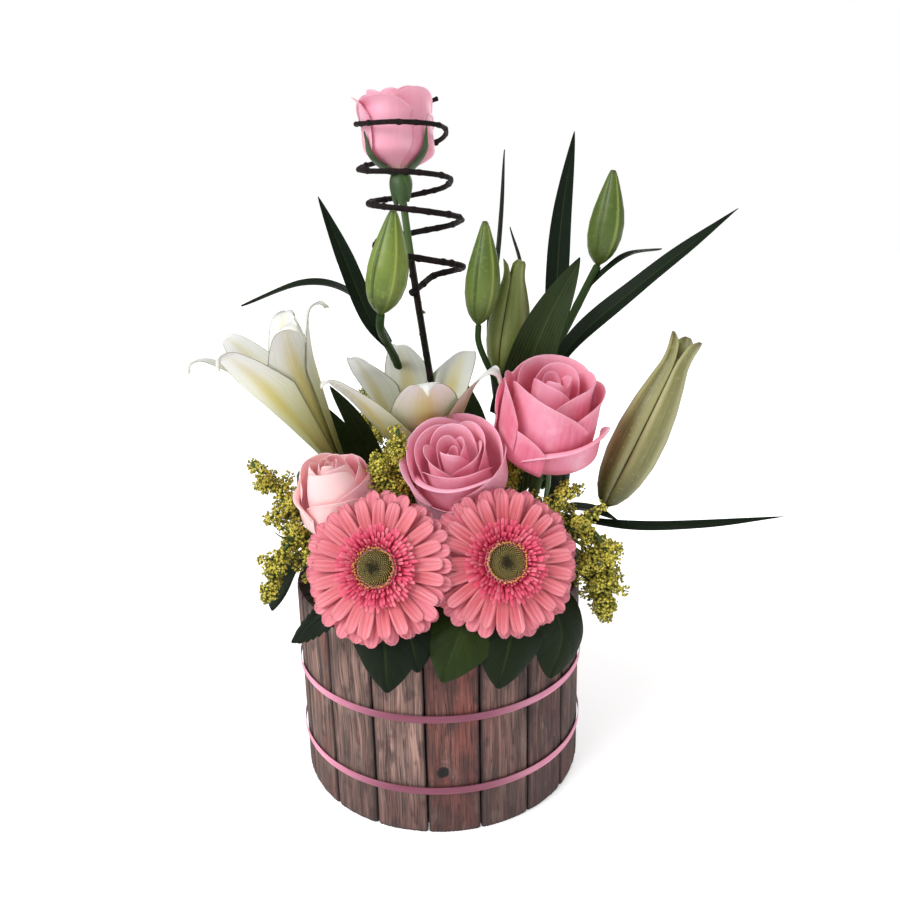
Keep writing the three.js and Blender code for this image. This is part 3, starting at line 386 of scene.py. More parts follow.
class Piece:
    def __init__(self):
        self.points, self.place, self.trait = [], [], []
        self.faces = {3: [], 4: []}
        self.slots = {3: [], 4: []}
        self.count = 0

    def add(self, points, faces, place, trait=(0, 0, 0), slot=0):
        """Adds one closed body, or several alike, with its faces turned outwards."""
        points = np.asarray(points, float).reshape(-1, 3)
        inside_out = sum(facing_sum(points, some) for some in faces) < 0
        for some in faces:
            some = np.asarray(some, int)
            if inside_out:
                some = some[:, ::-1]
            self.faces[some.shape[1]].append(some + self.count)
            self.slots[some.shape[1]].append(np.full(len(some), slot))
        self.points.append(points)
        self.place.append(np.broadcast_to(place, points.shape))
        self.trait.append(np.broadcast_to(trait, points.shape))
        self.count += len(points)

    def make(self, name, finishes, sharp=None):
        """Writes the mesh, in metres, as the object that stands for the solid its name starts with."""
        mesh = bpy.data.meshes.new(name)
        mesh.vertices.add(self.count)
        mesh.vertices.foreach_set("co", (np.vstack(self.points) * MM).astype(np.float32).ravel())
        corners, starts, slots, at = [], [], [], 0
        for size, groups in self.faces.items():
            if groups:
                some = np.vstack(groups)
                corners.append(some.ravel())
                starts.append(at + size * np.arange(len(some)))
                slots.append(np.concatenate(self.slots[size]))
                at += some.size
        corners, starts = np.concatenate(corners), np.concatenate(starts)
        mesh.loops.add(len(corners))
        mesh.polygons.add(len(starts))
        mesh.loops.foreach_set("vertex_index", corners.astype(np.int32))
        mesh.polygons.foreach_set("loop_start", starts.astype(np.int32))
        mesh.polygons.foreach_set("material_index", np.concatenate(slots).astype(np.int32))
        for field, values in (("place", self.place), ("trait", self.trait)):
            layer = mesh.attributes.new(field, "FLOAT_VECTOR", "POINT")
            layer.data.foreach_set("vector", np.vstack(values).astype(np.float32).ravel())
        for finish in finishes:
            mesh.materials.append(finish)
        mesh.update(calc_edges=True)
        mesh.shade_smooth()
        if sharp is not None:
            mesh.set_sharp_from_angle(angle=math.radians(sharp))
        made = add_object(name, mesh)
        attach(made, "root")
        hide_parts(name.removesuffix("_fine"))
        print(f"{name}: {len(starts)} faces")
        return made


# %% Makers of stalks, turned bodies, blades and scattered copies
def skin(piece, rings, start, end, place, trait=(0, 0, 0), slot=0):
    """Closes rings of points into one body, with a point at either end."""
    count, sides = rings.shape[:2]
    index = np.arange(count * sides).reshape(count, sides)
    after = np.roll(index, -1, axis=1)
    quads = np.stack([index[:-1], after[:-1], after[1:], index[1:]], -1).reshape(-1, 4)
    first, last = count * sides, count * sides + 1
    caps = [np.stack([after[0], index[0], np.full(sides, first)], -1),
            np.stack([index[-1], after[-1], np.full(sides, last)], -1)]
    points = np.vstack([rings.reshape(-1, 3), [start], [end]])
    place = np.vstack([place.reshape(-1, 3), place[0].mean(0)[None], place[-1].mean(0)[None]])
    piece.add(points, [quads, np.vstack(caps)], place, trait, slot)


def stalk(piece, path, radius, sides=8, steps=24, trait=(0, 0, 0), slot=0):
    """A round stalk. radius is a number, or a function of the share along and the angle round."""
    shares = np.linspace(0, 1, steps + 1)
    heads, side, other = path.frames(shares)
    angle = np.arange(sides) / sides * 2 * np.pi
    around, along = np.meshgrid(angle, shares)
    r = radius(along, around) if callable(radius) else np.full(along.shape, float(radius))
    rings = path.at(shares)[:, None] + (
        (r * np.cos(around))[..., None] * side[:, None]
        + (r * np.sin(around))[..., None] * other[:, None]
    )
    place = np.stack([np.sin(around), along, along * path.length], -1)
    start = path.at(0.0) - heads[0] * r[0].mean() * 0.4
    end = path.at(1.0) + heads[-1] * r[-1].mean() * 0.4
    skin(piece, rings, start, end, place, trait, slot)


def taper(foot, tip):
    """The radius of a stalk that thins evenly from its foot to its tip."""
    return lambda along, around: foot + (tip - foot) * along


def turned(piece, profile, segments, put=None, relief=None, trait=(0, 0, 0)):
    """A body turned about its axis from [radius, height] pairs that start and end on it."""
    profile = np.array(profile, float)
    inner = profile[1:-1]
    angle = np.arange(segments) / segments * 2 * np.pi
    around, r = np.meshgrid(angle, inner[:, 0])
    z = np.repeat(inner[:, 1:2], segments, axis=1)
    if relief is not None:
        r, z = relief(around, r, z)
    rings = round_axis(r, around, z)
    start, end = np.array([0, 0, profile[0, 1]]), np.array([0, 0, profile[-1, 1]])
    if put is not None:
        rings, start, end = put(rings), put(start), put(end)
    share = np.repeat(np.linspace(0, 1, len(inner))[:, None], segments, axis=1)
    skin(piece, rings, start, end, np.stack([np.sin(around), share, r], -1), trait)


BLADE_END = 0.996  # share of its length at which a blade stops, so that its tip has a width


def blade(piece, surface, columns, rows, thickness, trait, put=None):
    """A petal or leaf about surface(u, v), u in -1..1 across it and v in 0..1 along it. Its two
    faces meet in a thin round edge. put takes it from its flower's own frame to its place."""
    u, v = np.meshgrid(
        np.sin(np.linspace(-np.pi / 2, np.pi / 2, columns + 1)),
        BLADE_END * (1 - (1 - np.linspace(0, 1, rows + 1)) ** 1.35),
    )
    middle = put(surface(u, v)) if put else surface(u, v)
    normal = unit(np.cross(np.gradient(middle, axis=1), np.gradient(middle, axis=0)))
    half = 0.5 * thickness * np.sqrt(np.clip(1 - u**2, 0, 1) * ramp(v, BLADE_END, BLADE_END - 0.06))
    half[0] = 0
    lift = normal * half[..., None]
    front = np.arange(u.size).reshape(u.shape)
    back = front.copy()
    back[1:-1, 1:-1] = u.size + np.arange((rows - 1) * (columns - 1)).reshape(rows - 1, columns - 1)

    def quads(index):
        return np.stack([index[:-1, :-1], index[:-1, 1:], index[1:, 1:], index[1:, :-1]], -1)

    inside = (slice(1, -1), slice(1, -1))
    face = np.full(u.shape, 0.5)
    face[inside] = 1.0
    place = np.stack([u, v, face], -1)
    behind = np.stack([u[inside], v[inside], np.zeros_like(u[inside])], -1)
    points = np.vstack([(middle + lift).reshape(-1, 3), (middle - lift)[inside].reshape(-1, 3)])
    faces = [quads(front).reshape(-1, 4), quads(back).reshape(-1, 4)[:, ::-1]]
    piece.add(points, faces, np.vstack([place.reshape(-1, 3), behind.reshape(-1, 3)]), trait)


def scatter(piece, shape, centres, headings, sizes, traits):
    """Copies of one small closed shape, its +Z along each heading."""
    points, faces, place = shape
    headings = unit(np.asarray(headings, float))
    helper = np.where(np.abs(headings[:, 2:]) < 0.9, [[0.0, 0.0, 1.0]], [[1.0, 0.0, 0.0]])
    side = unit(np.cross(helper, headings))
    axes = np.stack([side, np.cross(headings, side), headings], 1)
    placed = np.einsum("pk,nkj->npj", points, axes) * np.asarray(sizes)[:, None, None]
    placed = placed + np.asarray(centres)[:, None]
    step = len(points) * np.arange(len(placed))[:, None, None]
    copies = [(np.asarray(some)[None] + step).reshape(-1, np.asarray(some).shape[1]) for some in faces]
    traits = np.repeat(np.asarray(traits, float), len(points), axis=0)
    piece.add(placed, copies, np.tile(place, (len(placed), 1)), traits)


def small_shape(profile, sides, fluted=0.0, lobes=5):
    """A small turned body for scatter. fluted is how deep its upper rim is cut into lobes."""
    sample = Piece()

    def relief(around, r, z):
        high = (z - profile[0][1]) / (profile[-1][1] - profile[0][1])
        return r * (1 + fluted * high**2 * np.cos(lobes * around)), z

    turned(sample, profile, sides, relief=relief)
    faces = [np.vstack(groups) for groups in sample.faces.values() if groups]
    return np.vstack(sample.points), faces, np.vstack(sample.place)


print("makers: stalk, turned, blade, scatter")

# %% [markdown]
# ## The tub
# The tub is made of 18 upright boards with dark joints between them. The boards look weathered:
# grey-brown, some pinkish, one reddish with a knot, all with fine grain. Each board is one piece
# with rounded edges, a slightly wandering joint and real grain cut into its face, because flat
# faces with only a painted grain would look like paper from close by.

# %% Sizes of the tub
TUB_RADIUS = 95.0
TUB_HEIGHT = 134.0
STAVE_COUNT = 18
STAVE_INNER_FLAT = 87.5
STAVE_GAP = 1.2
FIRST_STAVE_TURN = 0.176  # share of a stave by which the first one is turned from the front
KNOT = (-6.5, 43.0)  # across and up the first stave
KNOT_SQUASH = 0.85  # the knot is a little taller than it is wide
STAIN = {
    # stave number: base colour and whether it leans to red (1) or grey (0)
    1: ((124, 76, 68), 0.80), 2: ((122, 90, 82), 0.15), 3: ((106, 72, 66), 0.25),
    4: ((100, 70, 64), 0.35), 5: ((118, 88, 80), 0.40), 6: ((108, 82, 74), 0.10),
    7: ((130, 96, 86), 0.60), 8: ((110, 84, 76), 0.25), 9: ((102, 76, 70), 0.15),
    10: ((126, 92, 84), 0.50), 11: ((108, 82, 74), 0.10), 12: ((116, 86, 80), 0.50),
    13: ((116, 86, 78), 0.40), 14: ((122, 92, 82), 0.15), 15: ((114, 84, 76), 0.30),
    16: ((136, 104, 92), 0.45), 17: ((138, 106, 96), 0.15), 18: ((152, 118, 108), 0.25),
}
print(f"{STAVE_COUNT} boards round a tub {2 * TUB_RADIUS:.0f} mm across and {TUB_HEIGHT:.0f} mm high")


def weathered_wood(number):
    """Grain runs up the board: fine lines, broad streaks, grey and red patches, dark cracks and
    smudges. The first board has the knot, with rings round it. The joints, the foot and the back
    are darker."""
    stain, redness = STAIN[number]
    material, paint = new_finish(f"stave_wood_{number:02d}")
    across, up, outer = paint.numbers("place")
    sway = paint.grain(across * 0.02, up * 0.012, number * 7.3, 2.0) - 0.5
    bent = across + sway * 9.0
    lines = paint.grain(bent * 1.6, up * 0.03, number * 3.1, 5.0, 0.6)
    streaks = paint.grain(bent * 0.26, up * 0.016, number * 5.7, 3.0)
    patches = paint.grain(across * 0.06, up * 0.03, number * 9.1, 3.0)
    threads = abs(paint.grain(bent * 0.5, up * 0.009, number * 6.3, 2.0) - 0.5)
    smudges = paint.grain(across * 0.13, up * 0.06, number * 4.4, 3.0)
    pale = tuple(min(255, c * 1.18 + 8) for c in stain)
    dark = tuple(c * 0.54 for c in stain)
    base = paint.coats(
        colour(*dark),
        (lines.between(0.34, 0.68), colour(*stain)),
        (streaks.between(0.5, 0.68) * 0.75, colour(*pale)),
        (streaks.between(0.48, 0.3) * 0.7, colour(46, 32, 31)),
        (patches.between(0.5, 0.68) * redness, colour(136, 74, 66)),
        (patches.between(0.46, 0.3) * 0.4 * lines, colour(116, 106, 96)),
        (threads.between(0.022, 0.005) * 0.75, colour(34, 22, 22)),
        (smudges.between(0.56, 0.7) * 0.6, colour(50, 32, 32)),
        (smudges.between(0.42, 0.3) * 0.4 * lines, colour(176, 150, 140)),
    )
    if number == 1:
        away = paint.vector(across - KNOT[0], (up - KNOT[1]) * KNOT_SQUASH)
        distance = paint.node("ShaderNodeVectorMath", {"operation": "LENGTH"}, {0: away},
                              output="Value")
        distance = distance + (patches - 0.5) * 5.0 + (lines - 0.5) * 2.2
        rings = paint.math("SINE", distance * 2.2 + lines * 5.0)
        base = paint.coats(
            base,
            (distance.between(15.0, 3.0) * 0.5 * rings.between(-0.2, 0.8), colour(84, 44, 40)),
            (distance.between(4.4, 3.2), colour(10, 5, 5)),
        )
    base = paint.coats(
        base,
        (abs(across).between(13.8, 16.0) * 0.85, colour(42, 30, 30)),
        (up.between(64.0, 8.0) * (0.2 + 0.45 * streaks), colour(54, 36, 36)),
        (up.between(3.5, 0.2) * 0.7, colour(48, 38, 38)),
        (1 - outer, colour(86, 68, 58)),
    )
    return close_finish(material, paint, base, 0.62 + lines * 0.25, lines, 0.0005)


# %% Eighteen boards with real grain
BOARD_COLUMNS = 44
BOARD_ROWS = 56
BOARD_EDGE = 0.9  # how far the long edges are rounded over
BOARD_END = 1.2  # height over which the sawn ends are rounded
BOARD_CHAMFER = 0.7
BOARD_SET_BACK = 0.12  # keeps the grain's ridges within the tub's radius
GRAIN_DEPTH = 0.22


def board(number):
    half = math.pi / STAVE_COUNT - STAVE_GAP / 2 / TUB_RADIUS
    rows = np.linspace(0, 1, BOARD_ROWS + 1)
    up = TUB_HEIGHT * (rows - 0.035 * np.sin(2 * np.pi * rows) / np.pi)
    share = np.linspace(-1, 1, BOARD_COLUMNS + 1)
    side, height = np.meshgrid(share, up)
    joint = 1 + 0.011 * ripple(number, height * 0.045) + 0.006 * ripple(60 + number, height * 0.3)
    angle = half * side * np.where(np.abs(side) > 0.8, joint, 1.0)
    arc = angle * TUB_RADIUS
    rounding = ramp(np.abs(side), 0.9, 1) ** 2
    ends = ramp(np.minimum(height, TUB_HEIGHT - height), BOARD_END, 0) ** 2
    grain = ripple(20 + number, arc * 1.7, height * 0.03, waves=8)
    r = TUB_RADIUS - BOARD_SET_BACK - BOARD_EDGE * rounding - BOARD_CHAMFER * ends
    r = r + GRAIN_DEPTH * (grain - 0.6)
    if number == 1:
        gap = np.hypot(arc - KNOT[0], KNOT_SQUASH * (height - KNOT[1]))
        r = r - 1.3 * np.exp(-((gap / 2.6) ** 4)) + 0.35 * hump(gap - 5.0, 2.0)
    outer = round_axis(r, angle, height)
    back_share = np.linspace(1, -1, 7)
    back_angle, back_height = np.meshgrid(half * back_share, up)
    back = np.stack([np.full_like(back_angle, STAVE_INNER_FLAT),
                     STAVE_INNER_FLAT * np.tan(back_angle), back_height], -1)
    rings = np.concatenate([outer, back], axis=1)
    back_arc = back_angle * TUB_RADIUS
    place = np.concatenate([np.stack([arc, height, np.ones_like(arc)], -1),
                            np.stack([back_arc, back_height, np.zeros_like(back_arc)], -1)], axis=1)
    turn = -math.pi / 2 + (number - 1 + FIRST_STAVE_TURN) / STAVE_COUNT * 2 * math.pi
    put = standing((0, 0, 0), (0, 0, 1), turn)
    middle = (STAVE_INNER_FLAT + TUB_RADIUS) / 2
    piece = Piece()
    skin(piece, put(rings), put((middle, 0, 0)), put((middle, 0, TUB_HEIGHT)), place, (number, 0, 0))
    name = f"stave_{number:02d}"
    piece.make(name + "_fine", [weathered_wood(number)], sharp=50)


for number in range(1, STAVE_COUNT + 1):
    board(number)

# %% [markdown]
# ## Ribbons
# Two narrow satin ribbons are glued round the tub. Each one starts at the back and ends lapped
# over its own start, so it is swept once round with its end lifted by its thickness. Satin shines
# across its threads, so the finish has stretched highlights, streaks of painted sheen and a faint
# rib. Over the front of the tub the ribbon is a deep rose, which is painted shade where the satin
# faces away from the lamps, and it is a silvery pink towards the sides.

# %% Two satin ribbons
RIBBON_WIDTH = 4.6
RIBBON_THICKNESS = 0.7
RIBBON_RADIUS = 95.9
RIBBON_HEIGHTS = {"lower": 31.0, "upper": 80.0}
RIBBON_LAP = 0.14  # radians by which the end lies over the start
RIBBON_STEP_UP = 0.05  # radians in which the end climbs onto the start
RIBBON_LIFT = 0.08  # over the boards
RIBBON_STEPS = 240


def satin():
    material, paint = new_finish("satin_ribbon")
    _, along, up = paint.numbers("place")
    threads = paint.grain(up * 9.0, along * 30.0, 0.0, 2.0)
    # Lighter streaks of painted sheen along the ribbon.
    sheen = paint.grain(up * 0.6, along * 26.0, 0.0, 2.0)
    # Painted shade: the ribbon is darker over the front, where the satin faces away from the lamps.
    front = abs(along - 0.5).between(0.16, 0.03)
    base = paint.coats(
        colour(226, 134, 164),
        (sheen.between(0.35, 0.7), colour(240, 164, 190)),
        (front * 0.9, colour(90, 14, 36)),
        (threads * 0.15, colour(238, 172, 208)),
    )
    return close_finish(material, paint, base, 0.36 + threads * 0.12, threads, 0.00006,
                        specular_ior_level=0.3, anisotropic=0.5)


def ribbon(name, height, finish):
    turn = np.linspace(0, 2 * np.pi + RIBBON_LAP, RIBBON_STEPS + 1)
    angle = turn + np.pi / 2 - RIBBON_LAP / 2
    lap = ramp(turn, 2 * np.pi - RIBBON_STEP_UP, 2 * np.pi)
    radius = RIBBON_RADIUS + RIBBON_LIFT + (RIBBON_THICKNESS - RIBBON_LIFT) * lap
    sway = 0.25 * ripple(3 + int(height), np.cos(angle) * 2, np.sin(angle) * 2)
    section = np.array([(0, -1), (0.7, -1), (1, -0.86), (1, 0), (1, 0.86), (0.7, 1), (0, 1), (0, 0)])
    out = section[:, 0] * RIBBON_THICKNESS / 2
    up = section[:, 1] * RIBBON_WIDTH / 2
    r = radius[:, None] + out[None]
    rings = round_axis(r, angle[:, None], height + sway[:, None] + up[None])
    place = np.stack(np.broadcast_arrays(out[None], turn[:, None] / (2 * np.pi), up[None]), -1)
    piece = Piece()
    skin(piece, rings, rings[0].mean(0), rings[-1].mean(0), place)
    piece.make(name + "_fine", [finish], sharp=60)


satin_finish = satin()
for side, height in RIBBON_HEIGHTS.items():
    ribbon(f"ribbon_{side}", height, satin_finish)

# %% [markdown]
# ## Floor board, liner and foam
# A round board closes the tub. A thin plastic liner keeps the water in, and the stems stand in a
# block of wet green floral foam that rises a little above the rim. From above one sees the
# foam's pitted top between the leaves. All three are turned bodies.

# %% The filling
FLOOR_THICKNESS = 6.0
LINER_RADIUS = 86.8
LINER_WALL = 1.5
LINER_TOP = 130.0
GAP = 0.4  # kept between two neighbouring pieces
LINER_FOOT = FLOOR_THICKNESS + GAP
FOAM_RADIUS = 80.0
FOAM_TOP = 146.0
FOAM_CHAMFER = 7.0
FOAM_FOOT = LINER_FOOT + LINER_WALL + GAP


def floor_board():
    material, paint = new_finish("floor_board")
    stretch = paint.node("ShaderNodeVectorMath", {"operation": "MULTIPLY"},
                         {0: paint.spot(), 1: (1, 14, 1)})
    grain = paint.noise(stretch, 60.0, 3.0)
    base = paint.blend(grain, colour(92, 74, 62), colour(140, 116, 98))
    return close_finish(material, paint, base, 0.8, grain, 0.0003)


def liner_plastic():
    material, paint = new_finish("liner_plastic")
    grain = paint.speckle(900.0, 2.0)
    base = paint.blend(grain, colour(30, 42, 28), colour(46, 60, 42))
    return close_finish(material, paint, base, 0.35 + grain * 0.2, grain, 0.0001)


def wet_foam():
    material, paint = new_finish("wet_foam")
    pits = paint.speckle(700.0, 3.0, 0.7)
    damp = paint.speckle(30.0, 2.0)
    base = paint.coats(
        colour(20, 36, 20),
        (pits.between(0.3, 0.7), colour(66, 92, 54)),
        (damp.between(0.4, 0.8) * 0.6, colour(28, 44, 26)),
    )
    return close_finish(material, paint, base, 0.55 + pits * 0.4, pits, 0.0006)


def foam_relief(around, r, z):
    rough = 0.5 * ripple(5, np.cos(around) * r * 0.3, np.sin(around) * r * 0.3, z * 0.2)
    return r + 0.3 * rough, z + rough * (z > FOAM_TOP - 1)


piece = Piece()
turned(piece, [(0, 0), (40, 0), (LINER_RADIUS - 0.5, 0), (LINER_RADIUS, 0.6),
               (LINER_RADIUS, FLOOR_THICKNESS - 0.6), (LINER_RADIUS - 0.6, FLOOR_THICKNESS),
               (40, FLOOR_THICKNESS), (0, FLOOR_THICKNESS)], 96)
piece.make("tub_floor_fine", [floor_board()], sharp=50)

LINER_INSIDE = LINER_RADIUS - LINER_WALL
piece = Piece()
turned(piece, [(0, LINER_FOOT), (LINER_RADIUS - 2, LINER_FOOT), (LINER_RADIUS, LINER_FOOT + 2),
               (LINER_RADIUS, LINER_TOP - 1), (LINER_RADIUS - 0.4, LINER_TOP),
               (LINER_INSIDE + 0.4, LINER_TOP), (LINER_INSIDE, LINER_TOP - 1),
               (LINER_INSIDE, LINER_FOOT + 3), (LINER_INSIDE - 1.5, LINER_FOOT + LINER_WALL),
               (0, LINER_FOOT + LINER_WALL)], 120)
piece.make("liner_fine", [liner_plastic()], sharp=50)

top_rings = [(radius, FOAM_TOP) for radius in np.linspace(FOAM_RADIUS - FOAM_CHAMFER, 4, 16)]
piece = Piece()
turned(piece, [(0, FOAM_FOOT), (FOAM_RADIUS - 2, FOAM_FOOT), (FOAM_RADIUS, FOAM_FOOT + 2),
               (FOAM_RADIUS, 60), (FOAM_RADIUS, 120), (FOAM_RADIUS, FOAM_TOP - FOAM_CHAMFER),
               (FOAM_RADIUS - 2, FOAM_TOP - 3), *top_rings, (0, FOAM_TOP)], 96, relief=foam_relief)
piece.make("floral_foam_fine", [wet_foam()])

# %% [markdown]
# ## The twig coil
# A thin dark twig is wound round the upper rose and stands on a straight leg. Such a twig has a
# knob at each leaf scar and uneven bark, so its radius swells every centimetre or so.

# %% Twig coil
COIL_CENTRE = (-15.0, 17.0, 412.0)
COIL_LEAN = 0.118
COIL_RADIUS = 28.0
COIL_PITCH = 26.0
COIL_TURNS = (-0.92, 3.12)
COIL_DIP = 6.5  # by which the first two loops hang lower at their left
COIL_STEPS_PER_TURN = 12
TWIG_RADIUS = 1.8
LEG_RADIUS = 1.9
COIL_TAIL = [(3, 33, 327), (-6, 19, 321.5), (-12, 9, 318)]
COIL_LEG = [(-12, 14, 338), (-3, 8, 271), (13, -4, 150), (19, -8, 92)]
KNOB_SPACING = 13.0
KNOB_LENGTH = 1.25


def coil_line():
    first, last = COIL_TURNS
    steps = round((last - first) * COIL_STEPS_PER_TURN)
    line = []
    for i in range(0, steps + 1, 2):
        turns = first + i / steps * (last - first)
        angle = turns * 2 * math.pi
        r = COIL_RADIUS + 1.6 * math.sin(angle * 0.63)
        drop = turns * COIL_PITCH
        hang = COIL_DIP * math.sin(angle / 2) ** 2 * min(1, max(0, 1.5 - turns))
        line.append((COIL_CENTRE[0] + COIL_LEAN * drop + r * math.cos(angle),
                     COIL_CENTRE[1] + r * math.sin(angle),
                     COIL_CENTRE[2] - drop - hang + 1.5 * math.cos(angle * 0.5)))
    return line + COIL_TAIL


def bark_radius(base, length, seed):
    """The twig's radius: it thins to its tip and swells at each leaf scar."""
    draw = np.random.default_rng(seed)
    count = int(length / KNOB_SPACING)
    between = [(n + 0.5 + draw.uniform(-0.35, 0.35)) * KNOB_SPACING for n in range(count)]
    knobs = [0.0, *between, length]
    sides = draw.uniform(0, 2 * np.pi, len(knobs))
    heights = draw.uniform(0.5, 1.0, len(knobs))

    def radius(along, around):
        at = along * length
        r = base(along) * (1 + 0.07 * ripple(seed, at * 0.5, np.cos(around), np.sin(around)))
        for knob, side, height in zip(knobs, sides, heights):
            one_side = 0.35 + 0.65 * np.clip(np.cos(around - side), 0, 1) ** 2
            r = r + height * 0.95 * one_side * hump(at - knob, KNOB_LENGTH)
        return r

    return radius


def twig_bark():
    material, paint = new_finish("twig_bark")
    mottle = paint.speckle(260.0, 3.0)
    fine = paint.speckle(1500.0, 2.0)
    base = paint.coats(
        colour(10, 6, 7),
        (mottle.between(0.35, 0.7), colour(34, 20, 20)),
        (fine.between(0.62, 0.72) * 0.25, colour(104, 80, 72)),
    )
    return close_finish(material, paint, base, 0.6 + mottle * 0.3, fine + mottle, 0.0004,
                        specular_ior_level=0.2)


coil_path = Path(coil_line())
leg_path = Path(COIL_LEG)
piece = Piece()
thinning = bark_radius(lambda t: TWIG_RADIUS * (0.72 + 0.42 * t), coil_path.length, 4)
stalk(piece, coil_path, thinning, 12, 640)
stalk(piece, leg_path, bark_radius(lambda t: LEG_RADIUS, leg_path.length, 9), 12, 200)
piece.make("twig_coil_fine", [twig_bark()])
print(f"twig: {coil_path.length:.0f} mm in the coil, {leg_path.length:.0f} mm in the leg")

# %% [markdown]
# ## Roses
# A rose is a spiral of cupped petals. The heart is rolled tight, so its petals follow a rule.
# The large outer petals give each rose its face, so they are listed one by one: the side that a
# petal faces, how wide and tall it stands, how far its rim rolls over, and how its rim slants.

# %% Rose sizes
# An outer petal: the side it faces in degrees (0 right, 90 back, 180 left, 270 front), its share
# of the radius and of the height, half angle, roll of the rim in radians, and slant of the rim.
# A sepal: the side it stands at, and 1 where it lies along the petals or 0 where it hangs.
# shut is how far the rims close over the heart, belly_at where along its length a petal stands
# widest, and pale how near it comes to the tender colour of its finish. pale is partly a rose's
# own tone and partly painted light, raised on the centre rose to lighten its shaded cup.
ROSES = {
    "centre": dict(
        base=(17, -33, 191.5), axis=(-0.14, -0.56, 0.82), radius=29.5, height=58,
        shut=0.15, belly_at=0.55, pale=0.6, stem=[(20, -18, 92), (20, -22, 150), (18, -31, 176)],
        outer=[
            (80, 0.52, 0.98, 1.3, 0.3, 0), (205, 0.54, 0.97, 1.25, 0.5, 0),
            (322, 0.53, 0.95, 1.3, 0.6, 0), (20, 0.67, 0.96, 1.25, 0.4, 0),
            (145, 0.68, 0.96, 1.25, 0.4, 0), (265, 0.68, 0.92, 1.3, 0.8, 0),
            (138, 0.82, 0.97, 1.2, 0.5, 0), (258, 0.82, 0.87, 1.3, 1.5, 0.04),
            (182, 0.96, 0.88, 1.0, 0.9, 0), (318, 0.96, 0.82, 1.1, 0.5, 0.03),
            (50, 0.97, 0.86, 1.2, 0.5, 0), (112, 0.98, 0.8, 1.0, 0.8, 0),
            (232, 1.0, 0.62, 0.9, 0.7, 0), (285, 1.0, 0.58, 0.9, 0.9, 0),
        ],
        sepals=[(20, 0), (92, 0), (164, 0), (236, 0), (308, 0)]),
    "right": dict(
        base=(65, -26, 211), axis=(0.12, -0.33, 0.935), radius=31, height=66,
        shut=0.2, belly_at=0.5, pale=0.05, stem=[(46, -8, 92), (50, -10, 150), (61, -20, 194)],
        outer=[
            (70, 0.50, 1.0, 1.3, 0.2, 0), (230, 0.50, 0.99, 1.4, 0.2, 0),
            (345, 0.70, 1.0, 1.5, 0.25, 0), (120, 0.72, 1.0, 1.3, 0.3, 0),
            (240, 0.85, 0.93, 1.25, 0.5, -0.13), (350, 0.90, 0.9, 1.2, 0.4, 0),
            (80, 0.93, 0.95, 1.2, 0.4, 0), (180, 0.97, 0.93, 0.8, 0.4, 0),
            (300, 1.0, 0.58, 1.1, 2.0, 0.2), (215, 0.99, 0.6, 0.8, 0.3, 0),
            (130, 0.98, 0.8, 1.0, 0.6, 0),
        ],
        sepals=[(330, 0), (42, 0), (114, 0), (186, 0), (258, 0)]),
    "left": dict(
        base=(-54, -50, 182), axis=(-0.16, -0.24, 0.957), radius=24, height=48,
        shut=0.9, belly_at=0.5, pale=0.95, stem=[(-24, -14, 92), (-39, -34, 150), (-48, -44, 164)],
        outer=[
            (10, 0.46, 1.0, 1.4, 0.1, 0), (140, 0.46, 1.0, 1.4, 0.1, 0),
            (265, 0.47, 1.0, 1.4, 0.1, 0), (70, 0.66, 0.98, 1.2, 0.1, 0),
            (190, 0.67, 1.0, 1.25, 0.1, 0), (300, 0.68, 1.0, 1.25, 0.1, 0),
            (262, 0.78, 1.0, 1.4, 0.1, 0), (20, 0.86, 0.92, 1.1, 0.3, 0),
            (130, 0.86, 0.95, 1.1, 0.3, 0), (268, 0.95, 0.68, 1.1, 0.7, 0.05),
            (188, 0.98, 0.7, 0.85, 1.8, 0), (325, 0.96, 0.8, 1.0, 0.5, 0.06),
            (60, 0.97, 0.82, 1.05, 0.5, 0), (118, 0.96, 0.8, 1.0, 0.8, 0),
        ],
        sepals=[(10, 0), (82, 0), (154, 0), (226, 0), (298, 0)]),
    "top": dict(
        base=(-16.8, 18, 389), axis=(-0.06, -0.02, 0.998), radius=21.5, height=48,
        shut=0.2, belly_at=0.36, pale=0.6,
        stem=[(14, 9, 92), (12, 10, 150), (8, 13, 200), (-3, 19, 271), (-12, 21, 340)],
        outer=[
            (20, 0.5, 0.99, 1.3, 0.1, 0), (140, 0.5, 0.99, 1.3, 0.1, 0),
            (260, 0.5, 0.99, 1.3, 0.1, 0), (80, 0.72, 0.97, 1.2, 0.2, 0),
            (200, 0.74, 0.99, 1.2, 0.2, 0), (320, 0.73, 0.97, 1.2, 0.2, 0),
            (130, 0.88, 0.99, 1.1, 0.5, 0), (30, 0.87, 1.0, 1.1, 0.5, 0),
            (232, 0.93, 0.93, 1.15, 1.5, 0.03), (185, 0.97, 0.95, 0.8, 1.3, 0),
            (318, 0.98, 0.95, 1.0, 0.5, -0.03), (70, 0.97, 0.93, 1.0, 0.7, 0),
            (352, 1.02, 0.66, 0.5, 0.6, 0),
        ],
        sepals=[(222, 1), (322, 1), (234, 0), (270, 0), (306, 0), (95, 0)]),
}
# count, share of radius, share of height, half angle, first angle, spiral
ROSE_HEART = [
    (2, 0.13, 0.93, 1.9, 0.9, 0.34),
    (3, 0.29, 0.97, 1.5, 0.1, 0.2),
]
OUTER_SPIRAL = 0.07
ROSE_CUP = 3.5  # radius at which the petals leave the cup
ROSE_CUP_HEIGHT = 1.5  # height at which they leave it
ROLL_FROM = 0.82  # share of a petal's length at which its rim starts to roll


def petal_swell(rose, v):
    """From 0 at the cup to 1 at the belly of a petal."""
    return np.sin(np.minimum(1, v / rose["belly_at"]) * np.pi / 2)


